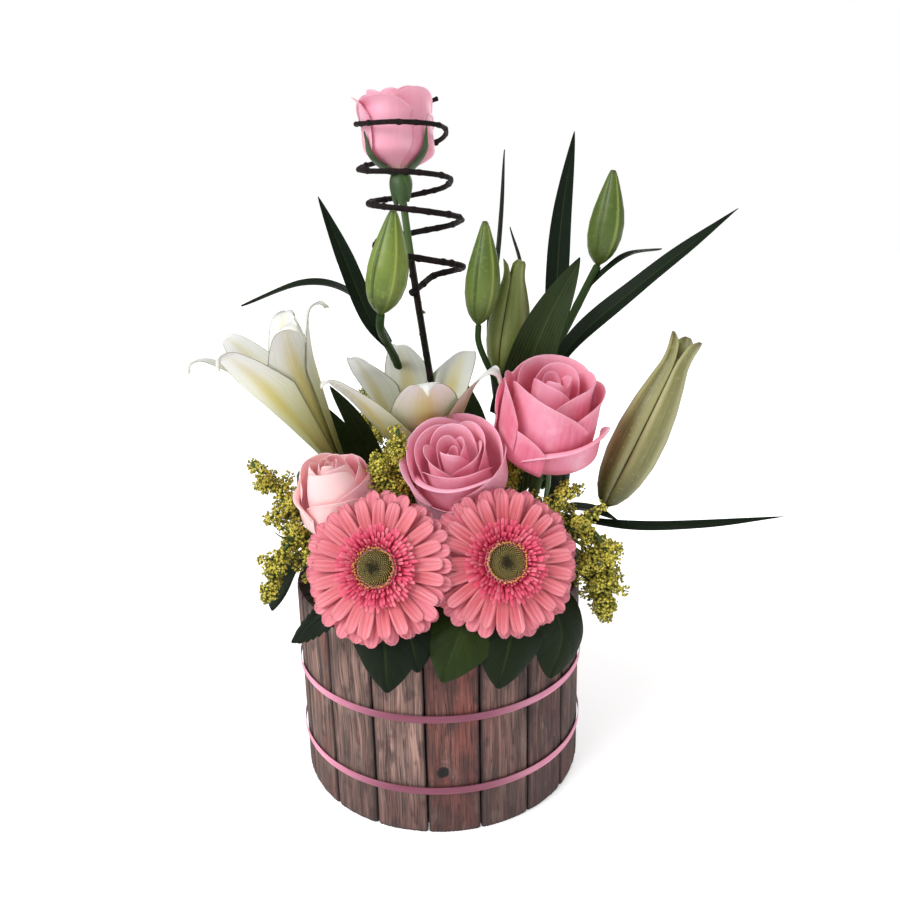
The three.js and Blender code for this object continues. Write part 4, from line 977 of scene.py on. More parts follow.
def rose_petal(rose, middle, radius, height, half, roll, slant, spiral, draw):
    belly = rose["radius"] * radius * draw.uniform(0.99, 1.01)
    tall = rose["height"] * height * draw.uniform(0.99, 1.01)
    shut = min(0.85, rose["shut"] * max(0.0, 1.1 - radius))
    phase, wave = draw.uniform(0, 6.28), 0.25 + 0.55 * radius**2
    rolled = (1 - ROLL_FROM) * tall
    bend = rolled / max(roll, 0.05)

    def surface(u, v):
        lip = ramp(v, 0.45, 1)
        over = ramp(v, ROLL_FROM, 1)
        outline = 1 - 0.05 * u**2 - 0.19 * np.abs(u) ** 3.4
        r = ROSE_CUP + (belly - ROSE_CUP) * petal_swell(rose, v)
        r = r * (1 + spiral * u) * (1 - shut * lip**2)
        r = r + bend * (1 - np.cos(roll * over)) + 0.5 * wave * np.sin(2.6 * u + phase) * lip**2
        z = tall * (v - (1 - outline) * v**1.6) * (1 + slant * u * lip)
        z = z + bend * np.sin(roll * over) - rolled * over
        z = z + 0.6 * wave * np.sin(3.7 * u + 2 * phase) * over
        angle = middle + u * half * (0.55 + 0.45 * np.sin(np.pi * np.minimum(v, 0.5)))
        return round_axis(r, angle, ROSE_CUP_HEIGHT + z)

    return surface


heart_petals = sum(row[0] for row in ROSE_HEART)
print("petals on each rose:", {side: heart_petals + len(rose["outer"]) for side, rose in ROSES.items()})


# %% Rose petal finish
# Petals light each other from within the bloom. A trace of pink light of their own stands for it.
ROSE_GLOW = {"emission_color": (1.0, 0.3, 0.42, 1), "emission_strength": 0.045}


def rose_petal_finish(name, tender):
    """Pink, deeper towards the heart, with painted shade deep inside the cup and towards the foot
    outside, painted light on the inner faces near the rim, a painted highlight up the middle of each
    petal outside, a paler rim and a cream foot. `pale` brings a petal nearer to the tender colour."""
    material, paint = new_finish(name)
    across, along, outside = paint.numbers("place")
    tone, layer, pale = paint.numbers("trait")
    veins = paint.grain(across * 14.0, along * 1.6, tone * 40.0, 3.0, 0.6)
    clouds = paint.speckle(70.0, 2.0)
    base = paint.coats(
        colour(208, 74, 108),
        (layer, colour(216, 98, 126)),
        # Painted shade deep inside the cup, then painted light on the inner faces near the rim.
        ((1 - outside) * along.between(0.9, 0.45) * 0.6, colour(226, 70, 108)),
        ((1 - outside) * along.between(0.6, 0.95) * 0.5, colour(246, 166, 190)),
        (veins.between(0.3, 0.75) * 0.3, colour(242, 168, 192)),
    )
    # A painted highlight up the middle of each petal's outside.
    painted_highlight = abs(across).between(0.7, 0.05) * along.between(0.3, 0.7) * outside
    base = paint.coats(
        base,
        (painted_highlight * (0.25 + 0.5 * clouds), colour(244, 174, 198)),
        (along.between(0.8, 1.0) * 0.35, colour(250, 194, 212)),
        # Painted shade towards the foot of the outside.
        (along.between(0.6, 0.12) * outside * 0.7, colour(212, 82, 116)),
        (pale, tender),
        (clouds.between(0.48, 0.72) * 0.35, colour(248, 196, 212)),
        (along.between(0.16, 0.02) * outside * 0.6, colour(228, 212, 176)),
    )
    return close_finish(material, paint, base, 0.4 + veins * 0.2, veins, 0.00012,
                        sheen_weight=0.1, **ROSE_GLOW, **GLOW_THROUGH)


rose_finish = {
    "rose_petal": rose_petal_finish("rose_petal", colour(246, 186, 206)),
    "rose_petal_pale": rose_petal_finish("rose_petal_pale", colour(252, 210, 208)),
}
print("finishes made:", ", ".join(rose_finish))


# %% Rose blooms
def rose_bloom(side, rose):
    draw = draws("rose_bloom", len(side))
    put = standing(rose["base"], rose["axis"])
    piece = Piece()

    def add_petal(depth, middle, *sizes):
        petal = rose_petal(rose, middle, *sizes, draw)
        # Petals that face right, away from the lamp, get less of the tender colour: painted shade.
        pale = rose["pale"] * (1 - 0.5 * max(0.0, math.cos(middle)))
        blade(piece, petal, 22, 26, 0.7, (draw.random(), depth, pale), put)

    for count, radius, height, half, first, spiral in ROSE_HEART:
        for k in range(count):
            middle = first + k / count * 2 * math.pi
            add_petal(0.5 * radius, middle, radius, height, half, 0.25 * radius, 0, spiral)
    for facing, radius, height, half, roll, slant in rose["outer"]:
        add_petal(radius, math.radians(facing), radius, height, half, roll, slant, OUTER_SPIRAL)
    wide, tall = rose["radius"], rose["height"]
    core = [(0, 1), (5, 1.5), (wide * 0.38, 6), (wide * 0.2, tall * 0.3), (wide * 0.08, tall * 0.7),
            (0, tall * 0.75)]
    turned(piece, core, 24, put, trait=(0.5, 0.1, rose["pale"]))
    slot = "rose_petal_pale" if side == "left" else "rose_petal"
    piece.make(f"rose_{side}_bloom_fine", [rose_finish[slot]])


for side, rose in ROSES.items():
    rose_bloom(side, rose)

# %% [markdown]
# ## Stems of roses and gerberas
# A rose stands on a smooth stem with a few thorns. Under the bloom is a small green cup with
# pointed sepals, most of which hang past it, while two lie along the petals of the tall rose. A
# gerbera has a bare, slightly ribbed stem and a cup of many narrow bracts.

# %% Green stem finish
def stem_green():
    material, paint = new_finish("stem_green")
    across, _, reach = paint.numbers("place")
    tone, kind, _ = paint.numbers("trait")
    streaks = paint.grain(across * 4.0, reach * 0.03, tone * 9.0, 2.0)
    fuzz = paint.speckle(1400.0, 2.0)
    base = paint.coats(
        colour(38, 62, 28),
        (streaks, colour(92, 124, 54)),
        (kind, paint.blend(tone, colour(20, 48, 22), colour(74, 112, 50))),
        (fuzz * 0.3, colour(112, 138, 84)),
    )
    return close_finish(material, paint, base, 0.5, streaks + fuzz * 0.4, 0.0002)


stem_finish = stem_green()
print("finish made:", stem_finish.name)

# %% Rose stems, cups and sepals
ROSE_STEM_RADIUS = 2.3
ROSE_CALYX = [(0, -10), (2.4, -10), (4.6, -8), (5.8, -5), (6.0, -2.4), (5.2, -0.6), (3.4, 0.7), (0, 1)]
THORNS = 6


def hugging_sepal(rose, middle, draw):
    """Lies along the outer petals and ends in a long point."""
    reach, half_width = 0.54 * rose["height"], draw.uniform(4.6, 5.6)

    def surface(u, v):
        z = reach * v
        r = ROSE_CUP + (rose["radius"] - ROSE_CUP) * petal_swell(rose, z / rose["height"] / 0.95)
        r = r + 1.5 + 1.6 * v**3 - 0.7 * u**2
        angle = middle + u * half_width * (1 - v) ** 0.9 / np.maximum(r, 3)
        return round_axis(r, angle, z - 0.5)

    return surface


def hanging_sepal(rose, middle, draw):
    """Bends outwards and down, past the cup and along the stem."""
    reach, half_width = 0.4 * rose["height"] * draw.uniform(0.8, 1.12), draw.uniform(3.8, 4.8)
    flare = draw.uniform(1.0, 5.5)

    def surface(u, v):
        r = 5.2 + 2.6 * np.sin(np.pi * v**0.7) + flare * v**1.6 - 1.6 * u**2 * v
        width = half_width * np.sin(np.pi * (0.25 + 0.74 * v)) ** 0.8
        angle = middle + u * width / r
        return round_axis(r, angle, 0.5 - reach * v**1.15)

    return surface


def rose_stem(side, rose):
    draw = draws("rose_stem", len(side))
    axis = unit(np.array(rose["axis"], float))
    neck = np.array(rose["base"], float) - 6 * axis
    path = Path([*rose["stem"], neck])
    piece = Piece()
    stalk(piece, path, lambda t, a: ROSE_STEM_RADIUS * (1 + 0.04 * np.sin(5 * a)), 12, 60,
          (draw.random(), 0, 0))
    put = standing(rose["base"], rose["axis"])
    turned(piece, ROSE_CALYX, 20, put, trait=(0.3, 0.7, 0))
    for facing, hugs in rose["sepals"]:
        sepal = hugging_sepal if hugs else hanging_sepal
        tone = 0.1 if hugs else draw.random()
        surface = sepal(rose, math.radians(facing) + draw.uniform(-0.08, 0.08), draw)
        blade(piece, surface, 8, 20, 0.9, (tone, 0.9, 0), put)
    thorn = small_shape([(0, 0), (1.1, 0), (0.7, 0.9), (0.3, 2.0), (0, 2.9)], 7)
    spots = np.sort(draw.uniform(0.45, 0.93, THORNS))
    heads, sides, others = path.frames(spots)
    spin = draw.uniform(0, 2 * np.pi, THORNS)[:, None]
    out = sides * np.cos(spin) + others * np.sin(spin)
    scatter(piece, thorn, path.at(spots) + out * 2.0, out - 0.4 * heads, np.full(THORNS, 0.9),
            np.tile([0.2, 0.2, 0], (THORNS, 1)))
    piece.make(f"rose_{side}_stem_fine", [stem_finish])


for side, rose in ROSES.items():
    rose_stem(side, rose)

# %% [markdown]
# ## Gerberas
# A gerbera's head has three rows of blunt ray florets with shallow grooves, then a frill of short
# narrow florets in a deeper pink, a ring of yellow tips, and an olive disc of closed buds in a
# spiral. The frill and the disc are hundreds of tiny parts, so each is one small shape that a
# rule repeats.

# %% Gerbera sizes
GERBERAS = {
    "left": dict(centre=(-34, -100, 179), facing=(-0.2, -0.89, 0.41), radius=44.5,
                 stem=[(-9, -16, 92), (-19, -50, 148), (-26, -72, 164)]),
    "right": dict(centre=(37, -97, 178.5), facing=(0.16, -0.9, 0.41), radius=44.5,
                  stem=[(12, -18, 92), (23, -50, 148), (30, -71, 164)]),
}
GERBERA_STEM_RADIUS = 3.0
RECEPTACLE = [(0, -6.5), (6, -6.4), (9.5, -5.6), (11.5, -4), (11.5, -0.6), (10, 0), (0, 0)]
GERBERA_CUP = [(0, -17), (3.5, -17), (6.5, -14.5), (9, -11), (10.3, -8), (10.5, -6.9), (0, -6.9)]
CUP_HEIGHTS = [-17, -14.5, -11, -8, -4]  # where the bracts lie on the cup, and how far out there
CUP_RADII = [4.2, 7.2, 9.8, 11.2, 13.0]
# count, share of the radius reached, height, rise to the tip, half width, root
RAY_ROWS = [
    (29, 1.00, -4.8, -2.6, 4.4, 7.5),
    (27, 0.985, -3.0, -0.6, 4.2, 7.5),
    (21, 0.90, -1.2, 1.4, 3.8, 7.5),
]
# count, foot radius, length, lift in radians, half width
FRILL_ROWS = [
    (58, 15.5, 8.8, 0.30, 0.95),
    (54, 13.6, 8.2, 0.55, 0.90),
    (48, 12.0, 6.6, 0.80, 0.82),
    (42, 10.6, 5.2, 1.05, 0.70),
]


def round_head(x, y, z, angle):
    """Points turned round the head's axis by an angle."""
    return np.stack([x * math.cos(angle) - y * math.sin(angle),
                     x * math.sin(angle) + y * math.cos(angle), z], -1)


def gerbera_ray(draw, angle, reach, height, rise, half_width, root):
    """A long grooved floret with a blunt, faintly notched tip."""
    tilt, bend, cup = draw.uniform(-0.16, 0.16), draw.uniform(-1.6, 1.2), draw.uniform(0.3, 1.5)
    notch = draw.uniform(0.1, 0.6)

    def surface(u, v):
        width = half_width * np.sin(np.pi * (0.05 + 0.66 * v)) ** 0.8
        width = width * np.sqrt(np.clip(1 - (np.maximum(v - 0.9, 0) / 0.1) ** 2, 0.004, 1))
        x = root + v * (reach - root) + notch * (np.cos(3 * np.pi * u) - 1) * v**10
        z = height + (rise + bend) * v**2 + cup * u**2 * v + tilt * u * width * v
        z = z + 0.28 * np.cos(3 * np.pi * u) * np.sin(np.pi * np.minimum(v * 1.05, 1)) ** 0.5
        return round_head(x, u * width, z, angle)

    return surface


print(f"each head has {sum(row[0] for row in RAY_ROWS)} rays and a frill of "
      f"{sum(row[0] for row in FRILL_ROWS)} florets")


# %% Gerbera finishes
def gerbera_ray_finish():
    """Salmon pink, deeper towards the frill, with painted shade along each groove and a cooler
    painted shade that grows towards the lowest row.
    """
    material, paint = new_finish("gerbera_ray")
    across, along, under = paint.numbers("place")
    tone, row, _ = paint.numbers("trait")
    streaks = paint.grain(across * 9.0, along * 1.2, tone * 50.0, 3.0)
    grooves = paint.math("COSINE", across * 9.42).between(-0.2, -1.0)
    base = paint.coats(
        colour(212, 86, 97),
        (tone * 0.7, colour(226, 112, 122)),
        (along.between(0.55, 0.12), colour(222, 78, 104)),
        (along.between(0.6, 1.0) * 0.5, colour(244, 158, 170)),
        (streaks.between(0.45, 0.75) * 0.5, colour(250, 186, 192)),
        # Painted shade along each groove.
        (grooves * 0.45 * (1 - under), colour(206, 74, 98)),
        # Painted shade, a cooler pink, towards the lowest row, which lies under the others.
        ((1 - row) * 0.3, colour(222, 116, 148)),
        (under * 0.35, colour(232, 150, 158)),
    )
    return close_finish(material, paint, base, 0.45 + streaks * 0.15, streaks, 0.0002,
                        sheen_weight=0.1, **GLOW_THROUGH)


def gerbera_eye_finish():
    """By layer: 0 is the olive disc, 0.5 the yellow tips round it, and 1 the deep pink frill. The
    disc is dark in its middle, and outward says how far from there a bud stands."""
    material, paint = new_finish("gerbera_eye")
    _, along, _ = paint.numbers("place")
    tone, layer, outward = paint.numbers("trait")
    disc = paint.coats(
        colour(44, 36, 20),
        (outward.between(0.15, 0.75), colour(136, 120, 62)),
        (along.between(0.5, 1.0) * outward.between(0.1, 0.6) * 0.6, colour(168, 152, 86)),
    )
    tips = paint.blend(along.between(0.35, 0.8), colour(190, 70, 80), colour(226, 168, 84))
    frill = paint.blend(along.between(0.1, 0.95), colour(196, 30, 72), colour(236, 92, 124))
    frill = paint.blend(tone.between(0.5, 1.0) * 0.4, frill, colour(246, 160, 166))
    base = paint.blend(layer.between(0.2, 0.45), disc, tips)
    base = paint.blend(layer.between(0.55, 0.9), base, frill)
    fine = paint.speckle(1800.0, 2.0)
    return close_finish(material, paint, base, 0.5 + fine * 0.2, fine, 0.0002)


ray_finish = gerbera_ray_finish()
eye_finish = gerbera_eye_finish()
print("finishes made:", ray_finish.name, eye_finish.name)


# %% Gerbera heads
def gerbera_rays(side, gerbera):
    draw = draws("gerbera_rays", len(side))
    put = standing(gerbera["centre"], gerbera["facing"])
    piece = Piece()
    turned(piece, RECEPTACLE, 32, put, trait=(0.5, 1, 0))
    for number, (count, share, height, rise, half_width, root) in enumerate(RAY_ROWS):
        for k in range(count):
            angle = (k + number * 0.37) / count * 2 * math.pi + draw.uniform(-0.04, 0.04)
            reach = gerbera["radius"] * share * draw.uniform(0.93, 1.0)
            petal = gerbera_ray(draw, angle, reach, height + draw.uniform(-0.5, 0.5), rise,
                                half_width * draw.uniform(0.88, 1.08), root)
            trait = (draw.random(), number / (len(RAY_ROWS) - 1), 0)
            blade(piece, petal, 14, 18, 0.6, trait, put)
    piece.make(f"gerbera_{side}_rays_fine", [ray_finish])


def frill_floret(draw, angle, foot, length, lift, half_width):
    """A short floret that lies back from the disc and curls a little."""
    lift = lift + draw.uniform(-0.14, 0.14)
    curl = draw.uniform(-0.5, 0.9)

    def surface(u, v):
        width = half_width * (0.45 + 0.55 * np.sin(np.pi * (0.15 + 0.6 * v)))
        width = width * np.sqrt(np.clip(1 - (np.maximum(v - 0.8, 0) / 0.205) ** 2, 0.004, 1))
        x = foot + length * (np.cos(lift) * v + 0.10 * curl * v**2)
        z = 1.2 + length * (np.sin(lift) * v - 0.14 * curl * v**2) + 0.25 * u**2
        return round_head(x, u * width, z, angle)

    return surface


DISC_RADIUS = 9.4
DISC_BUDS = 300
TIPS = 66  # yellow tips in the ring round the disc
GOLDEN_ANGLE = math.pi * (3 - math.sqrt(5))


def disc_height(r):
    """The disc is a low dome with a dimple in its middle."""
    share = r / DISC_RADIUS
    return 6.4 - 3.0 * share**4 - 1.7 * hump(share, 0.35)


def gerbera_eye(side, gerbera):
    draw = draws("gerbera_eye", len(side))
    put = standing(gerbera["centre"], gerbera["facing"])
    turn_to = standing((0, 0, 0), gerbera["facing"])
    piece = Piece()
    rings = np.linspace(DISC_RADIUS, 0.6, 10)
    turned(piece, [(0, 0.9), (DISC_RADIUS, 0.9), *[(r, disc_height(r) - 0.6) for r in rings],
                   (0, disc_height(0) - 0.6)], 36, put, trait=(0.5, 0, 0.3))
    for count, foot, length, lift, half_width in FRILL_ROWS:
        for k in range(count):
            angle = (k + draw.uniform(-0.3, 0.3)) / count * 2 * math.pi
            floret = frill_floret(draw, angle, foot, length * draw.uniform(0.8, 1.1), lift, half_width)
            blade(piece, floret, 4, 7, 0.5, (draw.random(), 1, 0), put)
    number = np.arange(DISC_BUDS)
    r = DISC_RADIUS * np.sqrt((number + 0.5) / DISC_BUDS)
    angle = number * GOLDEN_ANGLE
    centres = round_axis(r, angle, disc_height(r) - 0.7)
    lean = 0.5 * (r / DISC_RADIUS) ** 2
    headings = round_axis(lean, angle, 1.0)
    bud = small_shape([(0, 0), (0.34, 0.1), (0.42, 0.7), (0.30, 1.15), (0, 1.35)], 6)
    outward = np.clip(r / DISC_RADIUS + draw.uniform(-0.15, 0.15, DISC_BUDS), 0, 1)
    traits = np.stack([draw.random(DISC_BUDS), np.zeros(DISC_BUDS), outward], -1)
    scatter(piece, bud, put(centres), turn_to(headings), draw.uniform(0.85, 1.15, DISC_BUDS), traits)
    angle = (np.arange(TIPS) + draw.uniform(-0.3, 0.3, TIPS)) / TIPS * 2 * np.pi
    r = DISC_RADIUS + draw.uniform(-0.2, 0.9, TIPS)
    centres = round_axis(r, angle, 2.6)
    headings = round_axis(0.35, angle, 1.0)
    anther = small_shape([(0, 0), (0.28, 0.2), (0.34, 2.4), (0.5, 3.2), (0, 3.9)], 5)
    traits = np.stack([draw.random(TIPS), np.full(TIPS, 0.5), np.ones(TIPS)], -1)
    scatter(piece, anther, put(centres), turn_to(headings), draw.uniform(0.8, 1.15, TIPS), traits)
    piece.make(f"gerbera_{side}_eye_fine", [eye_finish])


def gerbera_stem(side, gerbera):
    draw = draws("gerbera_stem", len(side))
    facing = unit(np.array(gerbera["facing"], float))
    back = np.array(gerbera["centre"], float) - 14 * facing
    path = Path([*gerbera["stem"], back])
    put = standing(gerbera["centre"], gerbera["facing"])
    piece = Piece()
    stalk(piece, path, lambda t, a: GERBERA_STEM_RADIUS * (1 + 0.05 * np.sin(7 * a)), 16, 60,
          (0.6, 0, 0))
    turned(piece, GERBERA_CUP, 28, put, trait=(0.4, 0.6, 0))
    for row, (count, low, reach) in enumerate([(22, -16.5, 13), (20, -13.5, 11)]):
        for k in range(count):
            angle = (k + 0.5 * row) / count * 2 * math.pi + draw.uniform(-0.06, 0.06)

            def bract(u, v, angle=angle, low=low, reach=reach):
                z = low + reach * v * 0.86
                r = np.interp(z, CUP_HEIGHTS, CUP_RADII) + 0.5 - 0.4 * u**2
                turn = angle + u * 1.5 * (1 - v) ** 0.7 / r
                return round_axis(r, turn, z)

            blade(piece, bract, 4, 9, 0.7, (draw.random(), 0.9, 0), put)
    piece.make(f"gerbera_{side}_stem_fine", [stem_finish])


for side, gerbera in GERBERAS.items():
    gerbera_rays(side, gerbera)
    gerbera_eye(side, gerbera)
    gerbera_stem(side, gerbera)

# %% [markdown]
# ## Lilies and their buds
# A lily is a trumpet of six tepals, three narrower ones outside and three wider ones inside,
# whose tips roll back. Each tepal is a blade about a rib turned round the flower's axis. A
# golden keel runs up its outside, which turns olive at the foot. Inside stand six stamens and the
# style. A closed bud shows three seams with a rib between each two, and a ripe one parts into
# three bent tips.

# %% Lily sizes
# A lily: where it stands, its axis and its turn about it, a tepal's half width, how far its mouth
# leans, how far each tepal reaches, and the rib they share, as [radius, height] pairs.
LILIES = {
    "left": dict(base=(-60, -22, 214), axis=(-0.441, -0.099, 0.892), turn=0.185, half=22.5, tilt=0.09,
                 reach=(0.9, 1, 1.02, 1.01, 1, 1),
                 rib=[(3.5, 0), (8.5, 22), (16, 50), (24, 75), (36, 95), (51, 97)]),
    "centre": dict(base=(-4, -9, 197), axis=(-0.112, -0.043, 0.993), turn=-0.347, half=26, tilt=0.19,
                   reach=(1, 0.94, 0.93, 0.78, 1.18, 0.95),
                   rib=[(3.5, 0), (12, 20), (26, 44), (38, 66), (50, 79), (58.5, 80)]),
}
# A bud: its two ends, its radius, how far the tips of a ripe one bend out, and how far the faces
# between the ribs go over to a deeper green.
BUDS = {
    1: dict(base=(-30, -26, 309), tip=(-20, -25, 367), radius=12.2, parted=0, green=0.1),
    2: dict(base=(29, -6, 299), tip=(34, -5, 360), radius=10.4, parted=0, green=0.6),
    3: dict(base=(45, 13, 263), tip=(54, 10, 338), radius=13, parted=6, green=0.75),
    4: dict(base=(108, 20, 332), tip=(116, 20, 389), radius=10.8, parted=0, green=0.8),
    5: dict(base=(107, -25, 184), tip=(155, -25, 292), radius=15.5, parted=9, green=0),
}
TIP_HALF_WIDTH = 2.4  # a tepal ends in a narrow blunt tip


def spline(points, share):
    """The plain spline that the solids use for a tepal's rib, at each share of its knots."""
    knots = np.array(points, float)
    at = share * (len(knots) - 1)
    low = np.clip(np.floor(at).astype(int), 0, len(knots) - 2)
    t = (at - low)[..., None]
    p0, p1 = knots[np.maximum(low - 1, 0)], knots[low]
    p2, p3 = knots[low + 1], knots[np.minimum(low + 2, len(knots) - 1)]
    start, end = (p2 - p0) / 2, (p3 - p1) / 2
    return ((2 * p1 - 2 * p2 + start + end) * t**3 + (3 * p2 - 3 * p1 - 2 * start - end) * t**2
            + start * t + p1)


def lily_tepal(lily, k, draw):
    inner = k % 2 == 1
    middle = k / 6 * 2 * math.pi
    half = lily["half"] * (1.12 if inner else 0.88)
    phase = draw.uniform(0, 6.28)
    curl = draw.uniform(0.8, 1.2)

    def surface(u, v):
        rib = spline(lily["rib"], np.minimum(v, 1))
        r, z = rib[..., 0] * (1 + (lily["reach"][k] - 1) * v), rib[..., 1]
        r = r - (np.minimum(2.6, 0.4 * r) if inner else 0)
        z = z - lily["tilt"] * r * np.cos(middle) * v**2
        width = half * np.sin(np.pi * (0.08 + 0.92 * np.minimum(v, 0.999)) ** 0.66) ** 1.05
        blunt = TIP_HALF_WIDTH * np.sqrt(np.clip(1 - (np.maximum(v - 0.93, 0) / 0.07) ** 2, 0.01, 1))
        width = np.maximum(width, blunt)
        tip = ramp(v, 0.76, 1)
        z = z - curl * 6 * tip**3
        r = r - curl * 2.5 * tip**4
        wave = 1.3 * np.abs(u) ** 3 * np.sin(9 * v + phase + 1.5 * np.sign(u)) * ramp(v, 0.3, 0.3 + 1 / 3)
        keel = 0.9 * hump(u, 0.16) * np.clip(1.15 - v, 0, 1)
        channel = 1.6 * tip * u**2
        angle = middle + u * np.minimum(0.8, width / np.maximum(r, 3))
        r = r + keel + wave * 0.7 - channel
        z = z - 0.12 * width * u**2 + wave + channel * 1.6
        return round_axis(r, angle, z)

    return surface


print(f"{len(LILIES)} lilies and {len(BUDS)} buds, longest bud",
      max(round(math.dist(bud["base"], bud["tip"])) for bud in BUDS.values()), "mm")


# %% Lily finishes
def lily_petal():
    """White, with a golden keel outside and olive green towards the foot. A thin olive line along each
    edge and a darker tip are painted shade.
    """
    material, paint = new_finish("lily_petal")
    across, along, outside = paint.numbers("place")
    tone, _, _ = paint.numbers("trait")
    veins = paint.grain(across * 13.0, along * 1.3, tone * 30.0, 3.0)
    wander = paint.speckle(70.0, 1.0)
    keel = abs(across).between(0.5, 0.04)
    base = paint.blend(veins, colour(218, 220, 215), colour(249, 250, 247))
    khaki = along.between(0.8, 0.3) * (0.45 + 0.55 * outside)
    base = paint.coats(
        base,
        (khaki * 0.7, colour(200, 200, 116)),
        (along.between(0.96, 0.35) * keel * (0.5 + 0.5 * wander), colour(210, 192, 82)),
        (along.between(0.62, 0.16) * (0.35 + 0.6 * outside), colour(132, 134, 66)),
        (along.between(0.28, 0.03) * 0.9, colour(80, 88, 44)),
    )
    # Painted shade: a thin olive line along each edge, then a darker tip.
    edge = abs(across).between(0.93, 0.98) * along.between(0.1, 0.3) * along.between(0.99, 0.9)
    base = paint.coats(
        base,
        (edge * 0.9, colour(112, 112, 60)),
        (along.between(0.92, 1.0) * 0.5, colour(190, 186, 134)),
    )
    return close_finish(material, paint, base, 0.4 + veins * 0.15, veins, 0.00025,
                        subsurface_weight=0.1, subsurface_radius=(1.0, 0.95, 0.7), subsurface_scale=0.002)


def lily_stamen():
    material, paint = new_finish("lily_stamen")
    _, along, _ = paint.numbers("place")
    _, anther, _ = paint.numbers("trait")
    grain = paint.speckle(1600.0, 2.0)
    base = paint.coats(
        colour(196, 204, 150),
        (along, colour(226, 228, 206)),
        (anther, colour(212, 204, 160)),
    )
    return close_finish(material, paint, base, 0.45 + anther * 0.4, grain, 0.0002)


def bud_finish(name, ridge, face, seam, tip):
    """Lighter on each rib, partly its own paler green and partly a painted highlight, darker in each
    seam with painted shade, and fine lines from foot to tip. On a whole bud `place` says how near a
    rib and a seam are. On the parts of a ripe one it says where a point lies across the part."""
    material, paint = new_finish(name)
    rib, along, groove = paint.numbers("place")
    tone, parted, green = paint.numbers("trait")
    across = abs(rib)
    whole = 1 - parted
    # on_rib is where a rib is lighter, partly a painted highlight; on_seam is where painted shade darkens
    # a seam.
    on_rib = paint.math("MAXIMUM", rib.between(0.0, 0.95) * whole, across.between(0.3, 0.0) * parted)
    on_seam = paint.math("MAXIMUM", groove.between(0.25, 0.9) * whole, across.between(0.97, 1.0) * parted)
    lines = paint.grain(rib * 3.5, along * 1.1, groove * 4.0 + tone * 20.0, 4.0, 0.6)
    mottle = paint.speckle(420.0, 2.0)
    base = paint.blend(on_rib, face, ridge)
    base = paint.coats(
        base,
        (across.between(0.6, 0.92) * parted * 0.7, ridge),
        (lines.between(0.4, 0.72) * 0.5, ridge),
        (lines.between(0.46, 0.3) * 0.5, seam),
        (on_seam * 0.8, seam),
        (along.between(0.93, 1.0) * 0.8, tip),
        (along.between(0.3, 0.0) * 0.75, seam),
        (mottle * 0.2, face),
        (mottle.between(0.56, 0.7) * 0.3, ridge),
    )
    deep = paint.blend(parted, colour(62, 80, 24), colour(108, 132, 50))
    base = paint.blend(green * (1 - 0.7 * on_rib) * 0.75, base, deep)
    return close_finish(material, paint, base, 0.36 + mottle * 0.2, lines, 0.00025,
                        subsurface_weight=0.1, subsurface_radius=(0.6, 1.0, 0.3), subsurface_scale=0.002)


tepal_finish = lily_petal()
stamen_finish = lily_stamen()
BUD_FINISHES = {
    "bud_green": bud_finish("bud_green", colour(156, 172, 76), colour(88, 112, 34), colour(34, 52, 14),
                            colour(62, 64, 30)),
    "bud_cream": bud_finish("bud_cream", colour(172, 168, 118), colour(116, 114, 64), colour(60, 60, 26),
                            colour(86, 62, 42)),
}
print("finishes made:", tepal_finish.name, stamen_finish.name, *BUD_FINISHES)


# %% Lily blooms and stamens
def style_radius(t, a):
    """Thins upwards and ends in a knob with three lobes."""
    return 1.3 - 0.4 * t + 1.5 * hump(t - 1, 0.035) * (1 + 0.25 * np.cos(3 * a))


def anther_radius(t, a):
    return 1.45 * np.sqrt(np.clip(4 * t * (1 - t), 0.05, 1)) * (1 - 0.18 * np.cos(2 * a))


def lily_bloom(side, lily):
    draw = draws("lily_bloom", len(side))
    put = standing(lily["base"], lily["axis"], lily["turn"])
    piece = Piece()
    for k in range(6):
        tepal = lily_tepal(lily, k, draw)
        blade(piece, tepal, 22, 40, 1.1, (draw.random(), k % 2, 0), put)
    turned(piece, [(0, -1), (3.8, -0.9), (4.6, 0.4), (4.4, 4), (3.6, 7), (0, 8)], 20, put,
           trait=(0.5, 0, 0))
    height = lily["rib"][3][1] * 0.8
    style = Path(put([(0, 0, 6), (0.6, 0.2, height * 0.6), (1, 0, height * 1.08)]))
    stalk(piece, style, style_radius, 12, 40, (0.5, 0, 0), 1)
    for k in range(6):
        angle = (k + 0.5) / 6 * 2 * math.pi
        x, y = math.cos(angle), math.sin(angle)
        filament = Path(put([(x * 1.5, y * 1.5, 6), (x * 6, y * 6, height * 0.7),
                             (x * 8.5, y * 8.5, height), (x * 9.5, y * 9.5, height + 1)]))
        stalk(piece, filament, taper(0.75, 0.5), 8, 24, (0.5, 0, 0), 1)
        anther = Path(put([(x * 5, y * 5, height + 0.4), (x * 9.5, y * 9.5, height + 2.4),
                           (x * 14, y * 14, height + 1.6)]))
        stalk(piece, anther, anther_radius, 10, 14, (0.5, 1, 0), 1)
    piece.make(f"lily_{side}_bloom_fine", [tepal_finish, stamen_finish])


for side, lily in LILIES.items():
    lily_bloom(side, lily)

# %% Buds with their ribs and seams
VALVE_HALF_ANGLE = 1.03  # just under a sixth of a turn
BUD_PROFILE = [(0.0, 0.16), (0.03, 0.38), (0.1, 0.68), (0.18, 0.86), (0.3, 1.0), (0.45, 1.0), (0.6, 0.87),
               (0.74, 0.66), (0.86, 0.45), (0.94, 0.3), (1.0, 0.16)]  # share of length, of radius


def bud_size(t):
    """A bud's radius at each share of its length, as a share of its widest."""
    shares, sizes = zip(*BUD_PROFILE)
    return np.interp(t, shares, sizes)


def off_third(around):
    """Three times the angle to the nearest third of a turn."""
    return np.angle(np.exp(3j * around))


